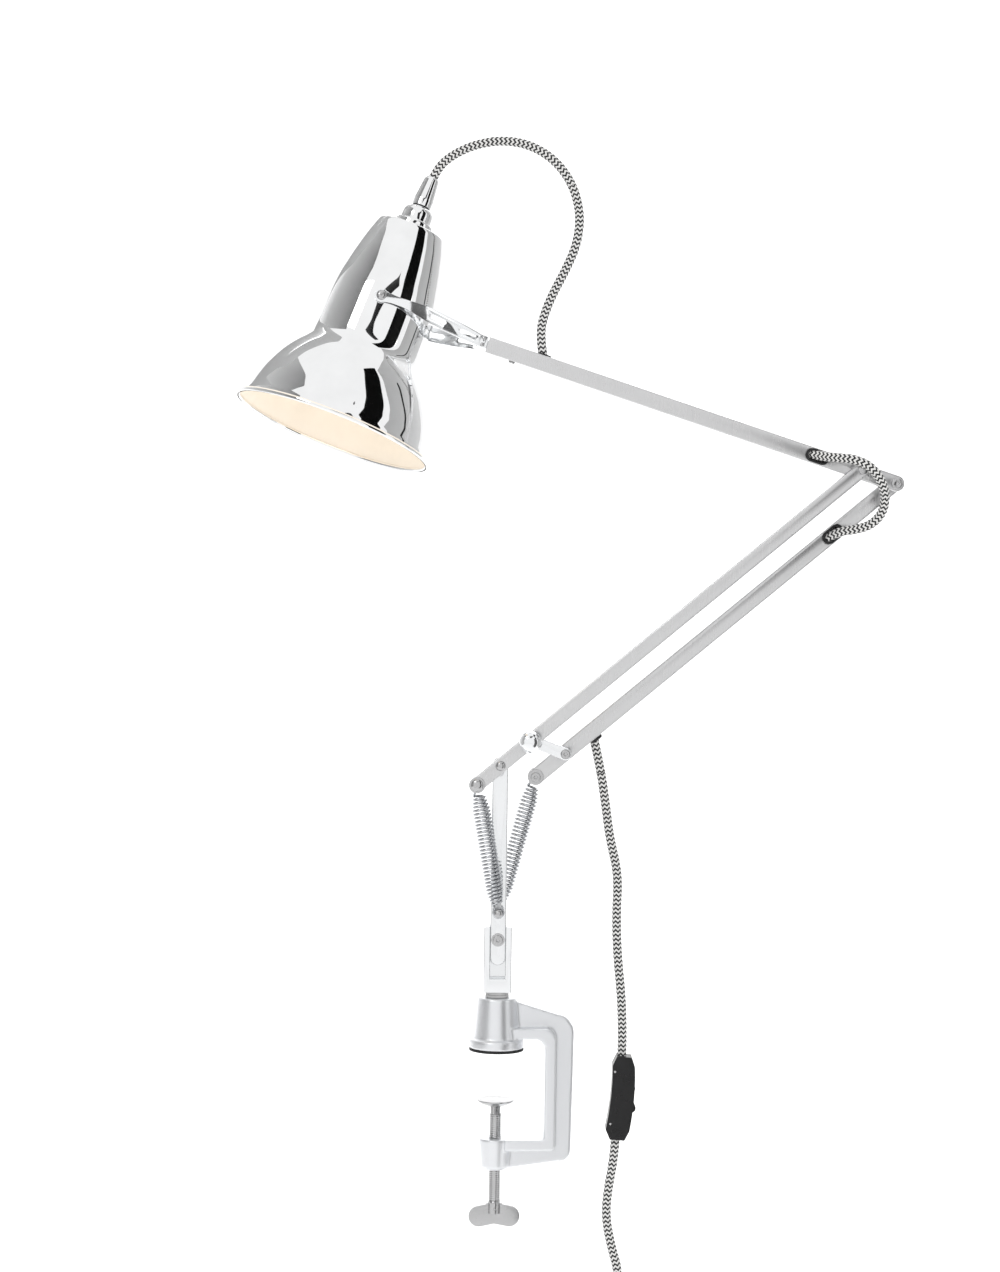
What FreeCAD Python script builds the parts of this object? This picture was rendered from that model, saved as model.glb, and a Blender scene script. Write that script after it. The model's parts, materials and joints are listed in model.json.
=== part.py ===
"""Swing arm desk lamp: a parallelogram lamp with a bell shade, springs and a desk clamp.

Millimetres, +Z up. The origin is the middle of the rubber pad's underside, where the
clamp stands on the desk. +X points from the post to the elbow side, -Y is the front.
Three layers stand one behind the other along Y: front bar, middle (post, link, upper
arm) and rear bar.
"""

import FreeCAD, Part
import math
import os

from FreeCAD import Placement, Rotation, Vector

# ---- driving dimensions -------------------------------------------------------------
PIVOT_Z = 210.0            # main pivot above the desk
BAR_RISE = 40.2            # lower bars above the horizontal, degrees
BAR_SPAN = 339.0           # main pivot to elbow pivot
LINK_STATION = 28.0        # main pivot to the link's upper pin, along the front bar
TAIL = 22.0                # main pivot to the spring pin, along the front bar
LINK_LENGTH = 27.7         # link, elbow crank and spring crank
LINK_DROP = 20.5           # link below the horizontal, degrees
ARM_DROP = 17.9            # upper arm's slope, degrees
ARM_LENGTH = 396.0         # end pivot to shade pivot

FRONT_BAR = 10.3           # square tube of the front bar
REAR_BAR = 11.7            # square tube of the rear bar
ARM_TUBE = 11.6            # square tube of the upper arm
POST_WIDTH = 11.5
LINK_WIDTH = 8.8
WALL = 1.0                 # wall of every square tube
EDGE = 0.9                 # rounding along the tubes' edges
LAYER_GAP = 1.0            # washer space between two layers
WASHER = 0.9
FIT = 0.05                 # radial clearance of a pin in its hole

DESK = 36.5                # thickness of the desk that the clamp holds
PAD = 1.6
SOCKET_TOP = 39.0
CLAMP_YAW = 5.0            # clamp frame against the arms, degrees
SCREW_R = 4.4
FOOT_R = 13.6

SHADE_ROLL = 9.0           # shade and yoke about the upper arm's line
SHADE_TILT = -2.4          # shade about the yoke's bolts
SHADE_PIVOT = 98.0         # pivot above the rim, along the shade's axis
SHADE_WALL = 0.9
YOKE_HALF = 42.0           # yoke blade from the middle at the bolts
BLADE = 1.3

CORD_R = 3.4
CORD_ROOM = 0.08           # between a cord and a wall that it passes through
COIL_R = 40.0

# ---- places worked out from them ----------------------------------------------------
MID_FACE = ARM_TUBE / 2
FRONT_BACK = -(MID_FACE + LAYER_GAP)
FRONT_FACE = FRONT_BACK - FRONT_BAR
FRONT_MID = FRONT_BACK - FRONT_BAR / 2
REAR_FRONT = MID_FACE + LAYER_GAP
REAR_FACE = REAR_FRONT + REAR_BAR
REAR_MID = REAR_FRONT + REAR_BAR / 2


def in_plane(angle, length, start=Vector()):
    """The point a length away from start, at an angle above +X in the XZ plane."""
    a = math.radians(angle)
    return start + Vector(length * math.cos(a), 0, length * math.sin(a))


PIVOT = Vector(0, 0, PIVOT_Z)
ELBOW = in_plane(BAR_RISE, BAR_SPAN, PIVOT)
LINK_TOP = in_plane(BAR_RISE, LINK_STATION, PIVOT)
FRONT_HOOK = in_plane(BAR_RISE, -TAIL, PIVOT)
CRANK = in_plane(-LINK_DROP, LINK_LENGTH)
LINK_END = LINK_TOP + CRANK
ARM_END = ELBOW + CRANK
REAR_HOOK = PIVOT + CRANK
ARM_WAY = in_plane(180 - ARM_DROP, 1)          # from the end pivot to the shade
ARM_UP = in_plane(90 - ARM_DROP, 1)
SHADE_AT = ARM_END + ARM_WAY * ARM_LENGTH
BAR_WAY = in_plane(BAR_RISE, 1)
BAR_DOWN = in_plane(BAR_RISE - 90, 1)
ANCHOR = Vector(0, 0, 102.6)
BRACKET_BOLT = Vector(0, 0, 81.7)

FORWARD = Vector(0, -1, 0)
BACK = Vector(0, 1, 0)
UP = Vector(0, 0, 1)
DOWN = Vector(0, 0, -1)

made = {}


def save(node, shape):
    """Write one node's STEP file and keep its volume for the print-out."""
    shape.exportStep("parts/" + node + ".step")
    made[node] = shape.Volume


# ---- shape helpers ------------------------------------------------------------------
def at(point, y):
    return Vector(point.x, y, point.z)


def rod(radius, start, end):
    way = end - start
    return Part.makeCylinder(radius, way.Length, start, way)


def ring(outer, inner, start, end):
    return rod(outer, start, end).cut(rod(inner, start, end))


def joined(shapes):
    """All shapes fused into one solid without seams."""
    whole = shapes[0]
    for shape in shapes[1:]:
        whole = whole.fuse(shape)
    return whole.removeSplitter()


def lathe(path, origin=Vector(), axis=UP):
    """A solid turned about axis. A path step is (r, z), or (r, z, r, z) for an arc's middle and end."""
    last = Vector(path[0][0], 0, path[0][1])
    first, edges = last, []
    for step in path[1:] + [path[0][:2]]:
        end = Vector(step[-2], 0, step[-1])
        if len(step) == 4:
            edges.append(Part.Arc(last, Vector(step[0], 0, step[1]), end).toShape())
        elif (end - last).Length > 1e-6:
            edges.append(Part.LineSegment(last, end).toShape())
        last = end
    solid = Part.Face(Part.Wire(edges)).revolve(Vector(), UP, 360)
    solid = Part.Solid(solid.Shells[0]) if solid.ShapeType != "Solid" else solid
    solid.Placement = Placement(origin, Rotation(UP, axis))
    return solid


def dome_head(radius, height, face, way):
    """A domed screw head standing on a face."""
    skirt = height * 0.3
    middle = (radius * 0.75, skirt + (height - skirt) * 0.62)
    crown = radius * 0.12
    return lathe([(0, 0), (radius, 0), (radius, skirt), (*middle, crown, height), (0, height)], face, way)


def hexagon(flats, height, start, way):
    corner = flats / math.sqrt(3)
    points = [Vector(corner * math.cos(i * math.pi / 3), corner * math.sin(i * math.pi / 3), 0)
              for i in range(7)]
    prism = Part.Face(Part.makePolygon(points)).extrude(Vector(0, 0, height))
    prism.Placement = Placement(start, Rotation(UP, way))
    return prism


def socket_head(radius, height, flats, face, way):
    """A cap head with a hexagon socket."""
    body = lathe([(0, 0), (radius, 0), (radius, height - 0.4), (radius - 0.4, height), (0, height)],
                 face, way)
    return body.cut(hexagon(flats, height, face + way * (height * 0.35), way))


def stadium(start, end, width, y_low, y_high):
    """A flat bar with round ends about start and end, filling y_low to y_high."""
    way = (end - start).normalize()
    side = Vector(-way.z, 0, way.x) * (width / 2)
    a, b = at(start, y_low), at(end, y_low)
    cap = way * (width / 2)
    edges = [
        Part.LineSegment(a + side, b + side).toShape(),
        Part.Arc(b + side, b + cap, b - side).toShape(),
        Part.LineSegment(b - side, a - side).toShape(),
        Part.Arc(a - side, a - cap, a + side).toShape(),
    ]
    return Part.Face(Part.Wire(edges)).extrude(Vector(0, y_high - y_low, 0))


def soft_edged(shape, radius=EDGE):
    """Round every edge that lies in the shape's front and back faces."""
    box = shape.BoundBox
    edges = [e for e in shape.Edges
             if e.BoundBox.YLength < 1e-6 and min(e.BoundBox.YMin - box.YMin,
                                                  box.YMax - e.BoundBox.YMax) < 1e-6]
    return shape.makeFillet(radius, edges)


def square_tube(start, end, width, y_mid):
    """A square tube with round ends, hollow between its ends."""
    half = width / 2
    outer = soft_edged(stadium(start, end, width, y_mid - half, y_mid + half))
    return outer.cut(stadium(start, end, width - 2 * WALL, y_mid - half + WALL, y_mid + half - WALL))


def cross_hole(point, radius):
    return rod(radius, at(point, -40), at(point, 40))


def yaw(shape):
    """Turn a clamp piece about the post's line."""
    return shape.rotate(Vector(), UP, CLAMP_YAW)


# ---- cords --------------------------------------------------------------------------
def cord_path(points, name):
    """Straight runs joined by tangent arcs, and the arcs' radii printed."""
    edges, last, radii = [], points[0], []
    for before, corner, after in zip(points, points[1:], points[2:]):
        into, out = (corner - before), (after - corner)
        reach = 0.45 * min(into.Length, out.Length)
        turn = into.getAngle(out)
        radii.append(reach / math.tan(turn / 2))
        into.normalize()
        out.normalize()
        start, end = corner - into * reach, corner + out * reach
        middle_way = (start + end) * 0.5 - corner
        bulge = radii[-1] / math.cos(turn / 2) - radii[-1]
        middle = corner + middle_way.normalize() * bulge
        edges.append(Part.LineSegment(last, start).toShape())
        edges.append(Part.Arc(start, middle, end).toShape())
        last = end
    edges.append(Part.LineSegment(last, points[-1]).toShape())
    print(name, "arc radii mm:", [round(r) for r in radii])
    return Part.Wire(edges)


def sweep(path, points, radius):
    start = Part.Wire(Part.Circle(points[0], points[1] - points[0], radius).toShape())
    return path.makePipeShell([start], True, False)


def bore(points, name):
    """The room that a cord needs where it passes through a wall."""
    return sweep(cord_path(points, name + " bore"), points, CORD_R + CORD_ROOM)


def cord_tube(points, radius, name):
    """The cord's plain solid, with its volume against section times length."""
    path = cord_path(points, name)
    solid = sweep(path, points, radius)
    expected = math.pi * radius ** 2 * path.Length
    print(name, "length mm: %.1f, volume over section x length: %.4f"
          % (path.Length, solid.Volume / expected))
    return solid


# ---- clamp --------------------------------------------------------------------------
JAW_X = 35.0               # inner face of the C
JAW_TOP = -64.8            # top of the lower jaw
RIM = 7.6                  # inner rim of the C, seen from the front
RIM_HALF = 12.8            # half the rim's depth
WEB_HALF = 4.5             # half the web's depth
BOSS_R = 12.0
BOSS_BOTTOM = -88.0
SPIGOT_R = 6.0
SPIGOT_END = 10.0


def c_outline(inner, y_half):
    """The C's web or rim as a plate: outer side shared, inner side offset by inner."""
    top, low = 26.8, -81.6
    outer = [Vector(8, 0, 38), Vector(44, 0, top), Vector(56.8, 0, 13), Vector(55.4, 0, -74),
             Vector(46, 0, low), Vector(6, 0, -87)]
    x, ceiling, floor = JAW_X + inner, 9.6 + inner, JAW_TOP - inner
    turn = 8.0
    edges = [
        Part.LineSegment(outer[0], outer[1]).toShape(),
        Part.Arc(outer[1], Vector(53.6, 0, 21.6), outer[2]).toShape(),
        Part.LineSegment(outer[2], outer[3]).toShape(),
        Part.Arc(outer[3], Vector(53.0, 0, -79.6), outer[4]).toShape(),
        Part.LineSegment(outer[4], outer[5]).toShape(),
        Part.LineSegment(outer[5], Vector(6, 0, floor)).toShape(),
        Part.LineSegment(Vector(6, 0, floor), Vector(x - 3, 0, floor)).toShape(),
        Part.Arc(Vector(x - 3, 0, floor), Vector(x - 0.88, 0, floor + 0.88),
                 Vector(x, 0, floor + 3)).toShape(),
        Part.LineSegment(Vector(x, 0, floor + 3), Vector(x, 0, ceiling - turn)).toShape(),
        Part.Arc(Vector(x, 0, ceiling - turn),
                 Vector(x - turn * 0.293, 0, ceiling - turn * 0.293),
                 Vector(x - turn, 0, ceiling)).toShape(),
        Part.LineSegment(Vector(x - turn, 0, ceiling), Vector(8, 0, ceiling)).toShape(),
        Part.LineSegment(Vector(8, 0, ceiling), outer[0]).toShape(),
    ]
    plate = Part.Face(Part.Wire(edges)).extrude(Vector(0, 2 * y_half, 0))
    plate.translate(Vector(0, -y_half, 0))
    return plate


def clamp_frame():
    """The cast C with its T section, swivel socket on top and screw boss below."""
    web = c_outline(0, WEB_HALF)
    rim = c_outline(0, RIM_HALF).cut(c_outline(RIM, RIM_HALF))
    rim = rim.common(Part.makeBox(60, 2 * RIM_HALF, 90, Vector(5, -RIM_HALF, JAW_TOP - RIM)))
    socket = lathe([(0, PAD), (20, PAD), (20, 7.6), (19, 8.6), (16.7, 9.0), (14, SOCKET_TOP - 0.6),
                    (13.4, SOCKET_TOP), (0, SOCKET_TOP)])
    boss = lathe([(0, BOSS_BOTTOM), (8.2, BOSS_BOTTOM), (10.2, BOSS_BOTTOM + 2.4),
                  (BOSS_R, JAW_TOP), (0, JAW_TOP)])
    frame = joined([web, rim, socket, boss])
    frame = frame.cut(rod(SPIGOT_R + FIT, Vector(0, 0, SPIGOT_END - 0.5), Vector(0, 0, 60)))
    frame = frame.cut(rod(SCREW_R + FIT, Vector(0, 0, -100), Vector(0, 0, -50)))
    return yaw(frame)


def clamp_pieces():
    save("clamp_frame", clamp_frame())
    pad = rod(20, Vector(0, 0, 0), Vector(0, 0, PAD))
    save("desk_pad", yaw(pad))


FOOT_TOP = -DESK
FOOT_BOTTOM = FOOT_TOP - 5.0
WING_TOP, WING_MID, WING_R = -113.4, -123.0, 7.6
SCREW_END = -120.8


def clamp_screw():
    """The screw: ball neck in the foot, plain shank, slotted lower end for the wing."""
    screw = joined([
        rod(3.6, Vector(0, 0, FOOT_BOTTOM - 6), Vector(0, 0, FOOT_TOP - 2.0)),
        rod(SCREW_R, Vector(0, 0, SCREW_END), Vector(0, 0, FOOT_BOTTOM - 6)),
    ])
    slot = Part.makeBox(30, 2.1, 12, Vector(-15, -1.05, SCREW_END - 1))
    pin_hole = rod(1.0, Vector(0, -6, WING_TOP - 3.5), Vector(0, 6, WING_TOP - 3.5))
    return yaw(screw.cut(slot).cut(pin_hole))


def screw_wing():
    """A flat two-lobed wing standing in the screw's slot."""
    lobe_x = 11.2
    plates = [stadium(Vector(side * lobe_x, 0, WING_MID), Vector(side * 3.0, 0, WING_MID + 1.6),
                      2 * WING_R, -1.0, 1.0) for side in (-1, 1)]
    wing = joined(plates + [Part.makeBox(12, 2.0, 12, Vector(-6, -1.0, WING_MID - 2.4))])
    hollow = rod(9.0, Vector(0, -3, WING_MID - 15.4), Vector(0, 3, WING_MID - 15.4))
    wing = wing.cut(hollow)
    above = Part.makeBox(60, 6, 10, Vector(-30, -3, WING_TOP))
    pin_hole = rod(1.0, Vector(0, -6, WING_TOP - 3.5), Vector(0, 6, WING_TOP - 3.5))
    return yaw(wing.cut(above).cut(pin_hole))


def screw_pieces():
    foot = lathe([(0, FOOT_TOP), (FOOT_R, FOOT_TOP), (FOOT_R, FOOT_TOP - 0.9), (11.2, FOOT_TOP - 2.7),
                  (5.6, FOOT_BOTTOM), (3.65, FOOT_BOTTOM), (3.65, FOOT_TOP - 1.9), (0, FOOT_TOP - 1.9)])
    save("clamp_foot", foot)
    save("clamp_screw", clamp_screw())
    save("screw_wing", screw_wing())
    save("wing_pin", yaw(rod(0.98, Vector(0, -SCREW_R, WING_TOP - 3.5),
                             Vector(0, SCREW_R, WING_TOP - 3.5))))


# ---- swivel bracket and post --------------------------------------------------------
BRACKET_HALF = 10.2
BRACKET_DEEP = 8.5
BRACKET_BOTTOM = 43.2
BRACKET_TOP = 91.4
SLOT_FLOOR = 53.2
POST_BOTTOM = 63.1


def swivel_bracket():
    block = Part.makeBox(2 * BRACKET_HALF, 2 * BRACKET_DEEP, BRACKET_TOP - BRACKET_BOTTOM,
                         Vector(-BRACKET_HALF, -BRACKET_DEEP, BRACKET_BOTTOM))
    block = block.makeFillet(0.7, [e for e in block.Edges if e.BoundBox.ZLength > 20])
    half = POST_WIDTH / 2 + 0.05
    slot = Part.makeBox(2 * half, BRACKET_DEEP + half, 60, Vector(-half, -BRACKET_DEEP, SLOT_FLOOR))
    spigot = rod(SPIGOT_R, Vector(0, 0, SPIGOT_END), Vector(0, 0, BRACKET_BOTTOM + 1))
    bracket = joined([block.cut(slot), spigot])
    return bracket.cut(rod(2.0, at(BRACKET_BOLT, 0), at(BRACKET_BOLT, 12)))


def post():
    """The square post, rounded about the main pivot at its top and at its foot."""
    half = POST_WIDTH / 2
    foot = Vector(0, 0, POST_BOTTOM + half)
    bar = soft_edged(stadium(foot, PIVOT, POST_WIDTH, -half, half))
    bar = bar.cut(cross_hole(PIVOT, 2.45))
    return bar.cut(cross_hole(ANCHOR, 1.9)).cut(cross_hole(BRACKET_BOLT, 2.0))


def anchor_pin():
    """The pin through the post that both springs hook on, with a domed head at each end."""
    reach = 19.4
    pin = rod(1.85, at(ANCHOR, -reach), at(ANCHOR, reach))
    heads = [dome_head(2.9, 1.8, at(ANCHOR, side * reach), Vector(0, side, 0)) for side in (-1, 1)]
    return joined([pin] + heads)


def swivel_pieces():
    save("swivel_bracket", swivel_bracket())
    rings = [ring(8.5, SPIGOT_R + 0.02, Vector(0, 0, low), Vector(0, 0, low + 1.95))
             for low in (SOCKET_TOP + 0.1, SOCKET_TOP + 2.2)]
    save("thrust_washers", Part.makeCompound(rings))
    save("post", post())
    half = POST_WIDTH / 2
    washer = ring(4.8, 2.05, at(BRACKET_BOLT, -half - 0.8), at(BRACKET_BOLT, -half))
    screw = joined([rod(1.95, at(BRACKET_BOLT, -half - 1.5), at(BRACKET_BOLT, BRACKET_DEEP + 2.6)),
                    socket_head(3.6, 2.2, 2.5, at(BRACKET_BOLT, -half - 0.8), FORWARD)])
    nut = hexagon(7.0, 2.6, at(BRACKET_BOLT, BRACKET_DEEP), BACK)
    nut = nut.cut(rod(1.97, at(BRACKET_BOLT, 0), at(BRACKET_BOLT, 20)))
    save("bracket_fasteners", Part.makeCompound([screw, washer, nut]))
    save("spring_anchor_pin", anchor_pin())
    bolt = joined([rod(2.4, at(PIVOT, FRONT_FACE - 0.2), at(PIVOT, half - 0.2)),
                   dome_head(3.5, 2.4, at(PIVOT, FRONT_FACE - 0.2), FORWARD)])
    save("main_pivot_fasteners", Part.makeCompound([bolt, layer_washer(PIVOT, 5.4, 2.45, -1)]))


def layer_washer(point, outer, inner, side):
    """A washer in the gap between the middle layer and the front (-1) or rear (+1) layer."""
    low = side * (MID_FACE + (LAYER_GAP - WASHER) / 2)
    high = side * (MID_FACE + (LAYER_GAP + WASHER) / 2)
    return ring(outer, inner, at(point, low), at(point, high))


# ---- springs ------------------------------------------------------------------------
SPRING_R = 6.7
SPRING_TIP_R = 4.7
HOOK_R = 3.4
WIRE_R = 0.6


def hook_loop(centre, way, reach):
    """An end loop round a pin in the XZ plane, with a leg that stands on the coil's end."""
    wide = Vector(0, WIRE_R, 0)
    loop = ring(HOOK_R + WIRE_R, HOOK_R - WIRE_R, centre - wide, centre + wide)
    side = Vector(-way.z, 0, way.x) * 2.0
    leg = rod(WIRE_R * 0.9, centre + side + way * 2.75, centre + side + way * (reach + 0.3))
    return loop.fuse(leg)


def spring(top, bottom):
    """An extension spring as its outer shape: a thin tube with coned ends and a loop at each end."""
    way = (bottom - top).normalize()
    length = (bottom - top).Length
    start, end, cone, wall = 8.0, length - 7.0, 9.0, 0.6
    body = lathe([(0.8, start), (SPRING_TIP_R, start), (SPRING_R, start + cone), (SPRING_R, end - cone),
                  (SPRING_TIP_R, end), (0.8, end), (0.8, end - 1.0), (SPRING_TIP_R - wall, end - 1.0),
                  (SPRING_R - wall, end - cone), (SPRING_R - wall, start + cone),
                  (SPRING_TIP_R - wall, start + 1.0), (0.8, start + 1.0)], top, way)
    hooks = [hook_loop(top, way, start), hook_loop(bottom, way * -1, 7.0)]
    return joined([body] + hooks)


FRONT_SPRING_Y = -12.9
REAR_SPRING_Y = 13.1


def spring_pieces():
    save("front_spring", spring(at(FRONT_HOOK, FRONT_SPRING_Y), at(ANCHOR, FRONT_SPRING_Y)))
    save("rear_spring", spring(at(REAR_HOOK, REAR_SPRING_Y), at(ANCHOR, REAR_SPRING_Y)))
    pin = joined([rod(1.6, at(FRONT_HOOK, FRONT_FACE - 0.8), at(FRONT_HOOK, FRONT_BACK)),
                  dome_head(4.5, 2.2, at(FRONT_HOOK, FRONT_FACE - 0.8), FORWARD)])
    washer = ring(5.9, 1.62, at(FRONT_HOOK, FRONT_FACE - 0.8), at(FRONT_HOOK, FRONT_FACE))
    save("front_spring_pin", Part.makeCompound([pin, washer]))
    pin = joined([rod(1.6, at(REAR_HOOK, REAR_FRONT - 1.1), at(REAR_HOOK, REAR_FACE - 0.2)),
                  socket_head(3.6, 1.5, 2.5, at(REAR_HOOK, REAR_FRONT - 0.9), FORWARD)])
    washer = ring(5.85, 1.62, at(REAR_HOOK, REAR_FRONT - 0.9), at(REAR_HOOK, REAR_FRONT - 0.1))
    save("rear_spring_pin", Part.makeCompound([pin, washer]))


def fork_end(bar, hook, width, y_mid):
    """Open a bar's tail between its cheeks, so that a spring's loop can reach the pin."""
    inside = width / 2 - WALL
    cutter = rod(width / 2 + 0.6, at(hook, y_mid - inside), at(hook, y_mid + inside))
    return bar.cut(cutter)


# ---- lower bars and link ------------------------------------------------------------
CORD_OUTLET = ARM_END - BAR_WAY * 287.0        # where the mains cord leaves the rear bar
ELBOW_OUTLET = ARM_END - BAR_WAY * 58.0        # where the elbow loop enters the rear bar
SLOT_LONG, SLOT_WIDE = 14.6, 8.4               # the oval holes under the grommets


def oval(point, way, long, wide, y_low, y_high):
    half = way * ((long - wide) / 2)
    return stadium(point - half, point + half, wide, y_low, y_high)


def front_bar():
    bar = square_tube(FRONT_HOOK, ELBOW, FRONT_BAR, FRONT_MID)
    bar = fork_end(bar, FRONT_HOOK, FRONT_BAR, FRONT_MID)
    for point, radius in ((PIVOT, 2.4 + FIT), (ELBOW, 2.4 + FIT), (LINK_TOP, 2.9), (FRONT_HOOK, 1.62)):
        bar = bar.cut(cross_hole(point, radius))
    return bar


def rear_bar():
    bar = square_tube(REAR_HOOK, ARM_END, REAR_BAR, REAR_MID)
    bar = fork_end(bar, REAR_HOOK, REAR_BAR, REAR_MID)
    for point, radius in ((ARM_END, 2.4 + FIT), (LINK_END, 2.0 + FIT), (REAR_HOOK, 1.6 + FIT)):
        bar = bar.cut(cross_hole(point, radius))
    bar = bar.cut(oval(ELBOW_OUTLET, BAR_WAY, SLOT_LONG, SLOT_WIDE, REAR_FRONT - 1, REAR_FRONT + 3))
    outlet = at(CORD_OUTLET, REAR_MID)
    bar = bar.cut(rod(4.4, outlet + BAR_DOWN * 3, outlet + BAR_DOWN * 9))
    return bar.cut(bore(elbow_route(), "rear bar")).cut(bore(mains_route(), "rear bar"))


def grommet(point, way, face, side):
    """An oval rubber ring seated in a slot, standing proud of the face it is on (side is -1 or 1)."""
    ys = sorted((face, face + side * 1.7))
    inner = sorted((face + side * 1.7, face - side * (WALL + 0.8)))
    neck = sorted((face, face - side * (WALL + 0.8)))
    flange = oval(point, way, SLOT_LONG + 2.6, SLOT_WIDE + 1.6, *ys)
    neck_solid = oval(point, way, SLOT_LONG - 0.1, SLOT_WIDE - 0.1, *neck)
    body = flange.fuse(neck_solid).removeSplitter()
    body = body.cut(oval(point, way, SLOT_LONG - 1.2, SLOT_WIDE - 1.3, *inner))
    return body.cut(bore(elbow_route(), "grommet"))


def outlet_bush():
    """The bush that the mains cord hangs out of, under the rear bar."""
    outlet = at(CORD_OUTLET, REAR_MID)
    half = REAR_BAR / 2
    bush = lathe([(3.5, half - 2.0), (4.35, half - 2.0), (4.35, half), (5.2, half), (5.0, half + 1.4),
                  (4.4, half + 2.2), (3.5, half + 2.2)], outlet, BAR_DOWN)
    return bush.cut(bore(mains_route(), "outlet bush"))


def tension_knob():
    """The domed knob that clamps the link's upper joint."""
    face = at(LINK_TOP, FRONT_FACE - 0.6)
    return lathe([(0, 2.2), (2.85, 2.2), (2.85, 0), (5.0, 0), (6.2, 1.4), (8.1, 3.4),
                  (8.15, 4.4), (6.3, 8.4, 1.0, 10.4), (0, 10.4)], face, FORWARD)


def bar_pieces():
    save("front_bar", front_bar())
    save("rear_bar", rear_bar())
    stud = rod(2.8, at(LINK_TOP, FRONT_FACE - 2.6), at(LINK_TOP, MID_FACE - 0.4))
    save("link_stud", Part.makeCompound([stud, layer_washer(LINK_TOP, 4.3, 2.82, -1)]))
    save("tension_knob", tension_knob())
    link = soft_edged(stadium(LINK_TOP, LINK_END, LINK_WIDTH, -MID_FACE + 0.2, MID_FACE - 0.2), 0.7)
    link = link.cut(cross_hole(LINK_TOP, 2.8 + FIT)).cut(cross_hole(LINK_END, 2.0 + FIT))
    link = link.cut(rod(3.45, at(LINK_END, -MID_FACE), at(LINK_END, -MID_FACE + 1.9)))
    save("short_link", link)
    screw = joined([rod(2.0, at(LINK_END, -MID_FACE + 1.5), at(LINK_END, REAR_FACE + 2.4)),
                    socket_head(3.35, 2.4, 2.5, at(LINK_END, -MID_FACE + 1.8), FORWARD)])
    nut = hexagon(6.4, 2.2, at(LINK_END, REAR_FACE + 0.1), BACK)
    nut = nut.cut(rod(2.02, at(LINK_END, 0), at(LINK_END, 30)))
    save("link_fasteners", Part.makeCompound([screw, nut, layer_washer(LINK_END, 4.3, 2.05, 1)]))
    save("lower_grommet", grommet(ELBOW_OUTLET, BAR_WAY, REAR_FRONT, -1))
    save("outlet_bush", outlet_bush())
    start, end = at(ELBOW_OUTLET, REAR_MID), at(CORD_OUTLET, REAR_MID)
    save("rear_bar_lead", rod(2.6, start - BAR_WAY * 14, end + BAR_WAY * 6))


# ---- upper arm ----------------------------------------------------------------------
ARM_OPEN = -82.0           # tube's open end, from the shade pivot along the arm
PLUG_END = -108.0
GRUB = -102.6
LEAD_IN = 272.4            # head cord's hole from the end pivot
GROMMET_AT = 61.0          # elbow loop's hole from the end pivot


def on_arm(station, up=0.0, y=0.0):
    """A point from the end pivot along the arm, up across it and back."""
    return ARM_END + ARM_WAY * station + ARM_UP * up + Vector(0, y, 0)


def upper_arm():
    half = ARM_TUBE / 2
    tube = square_tube(ARM_END, on_arm(ARM_LENGTH + ARM_OPEN + half), ARM_TUBE, 0)
    end = ARM_LENGTH + ARM_OPEN
    blank = Part.makeBox(20, 30, 30, Vector(0, -15, -15))
    blank.Placement = Placement(on_arm(end), Rotation(Vector(0, 1, 0), 180 + ARM_DROP))
    tube = tube.cut(blank)
    inside = stadium(on_arm(end - 20), on_arm(end + 10), ARM_TUBE - 2 * WALL, WALL - half, half - WALL)
    tube = tube.cut(inside)
    for point in (ELBOW, ARM_END):
        tube = tube.cut(cross_hole(point, 2.45))
    tube = tube.cut(oval(on_arm(GROMMET_AT), ARM_WAY, SLOT_LONG, SLOT_WIDE, -half - 1, -half + 3))
    tube = tube.cut(rod(4.5, on_arm(LEAD_IN, 3), on_arm(LEAD_IN, 9)))
    tube = tube.cut(bore(head_route(), "upper arm")).cut(bore(elbow_route(), "upper arm"))
    return tube.cut(rod(1.6, on_arm(ARM_LENGTH + GRUB, -3), on_arm(ARM_LENGTH + GRUB, -9)))


def end_plug():
    """The block pressed into the arm's open end, bored for the yoke's spigot."""
    side = ARM_TUBE - 2 * WALL - 0.1
    plug = Part.makeBox(ARM_OPEN - PLUG_END, side, side, Vector(0, -side / 2, -side / 2))
    plug.Placement = Placement(SHADE_AT + ARM_WAY * ARM_OPEN, Rotation(Vector(0, 1, 0), ARM_DROP))
    bore = rod(3.5 + FIT, SHADE_AT + ARM_WAY * (PLUG_END + 2), SHADE_AT + ARM_WAY * (ARM_OPEN + 1))
    plug = plug.cut(bore)
    return plug.cut(rod(1.55, on_arm(ARM_LENGTH + GRUB, -3), on_arm(ARM_LENGTH + GRUB, -9)))


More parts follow.
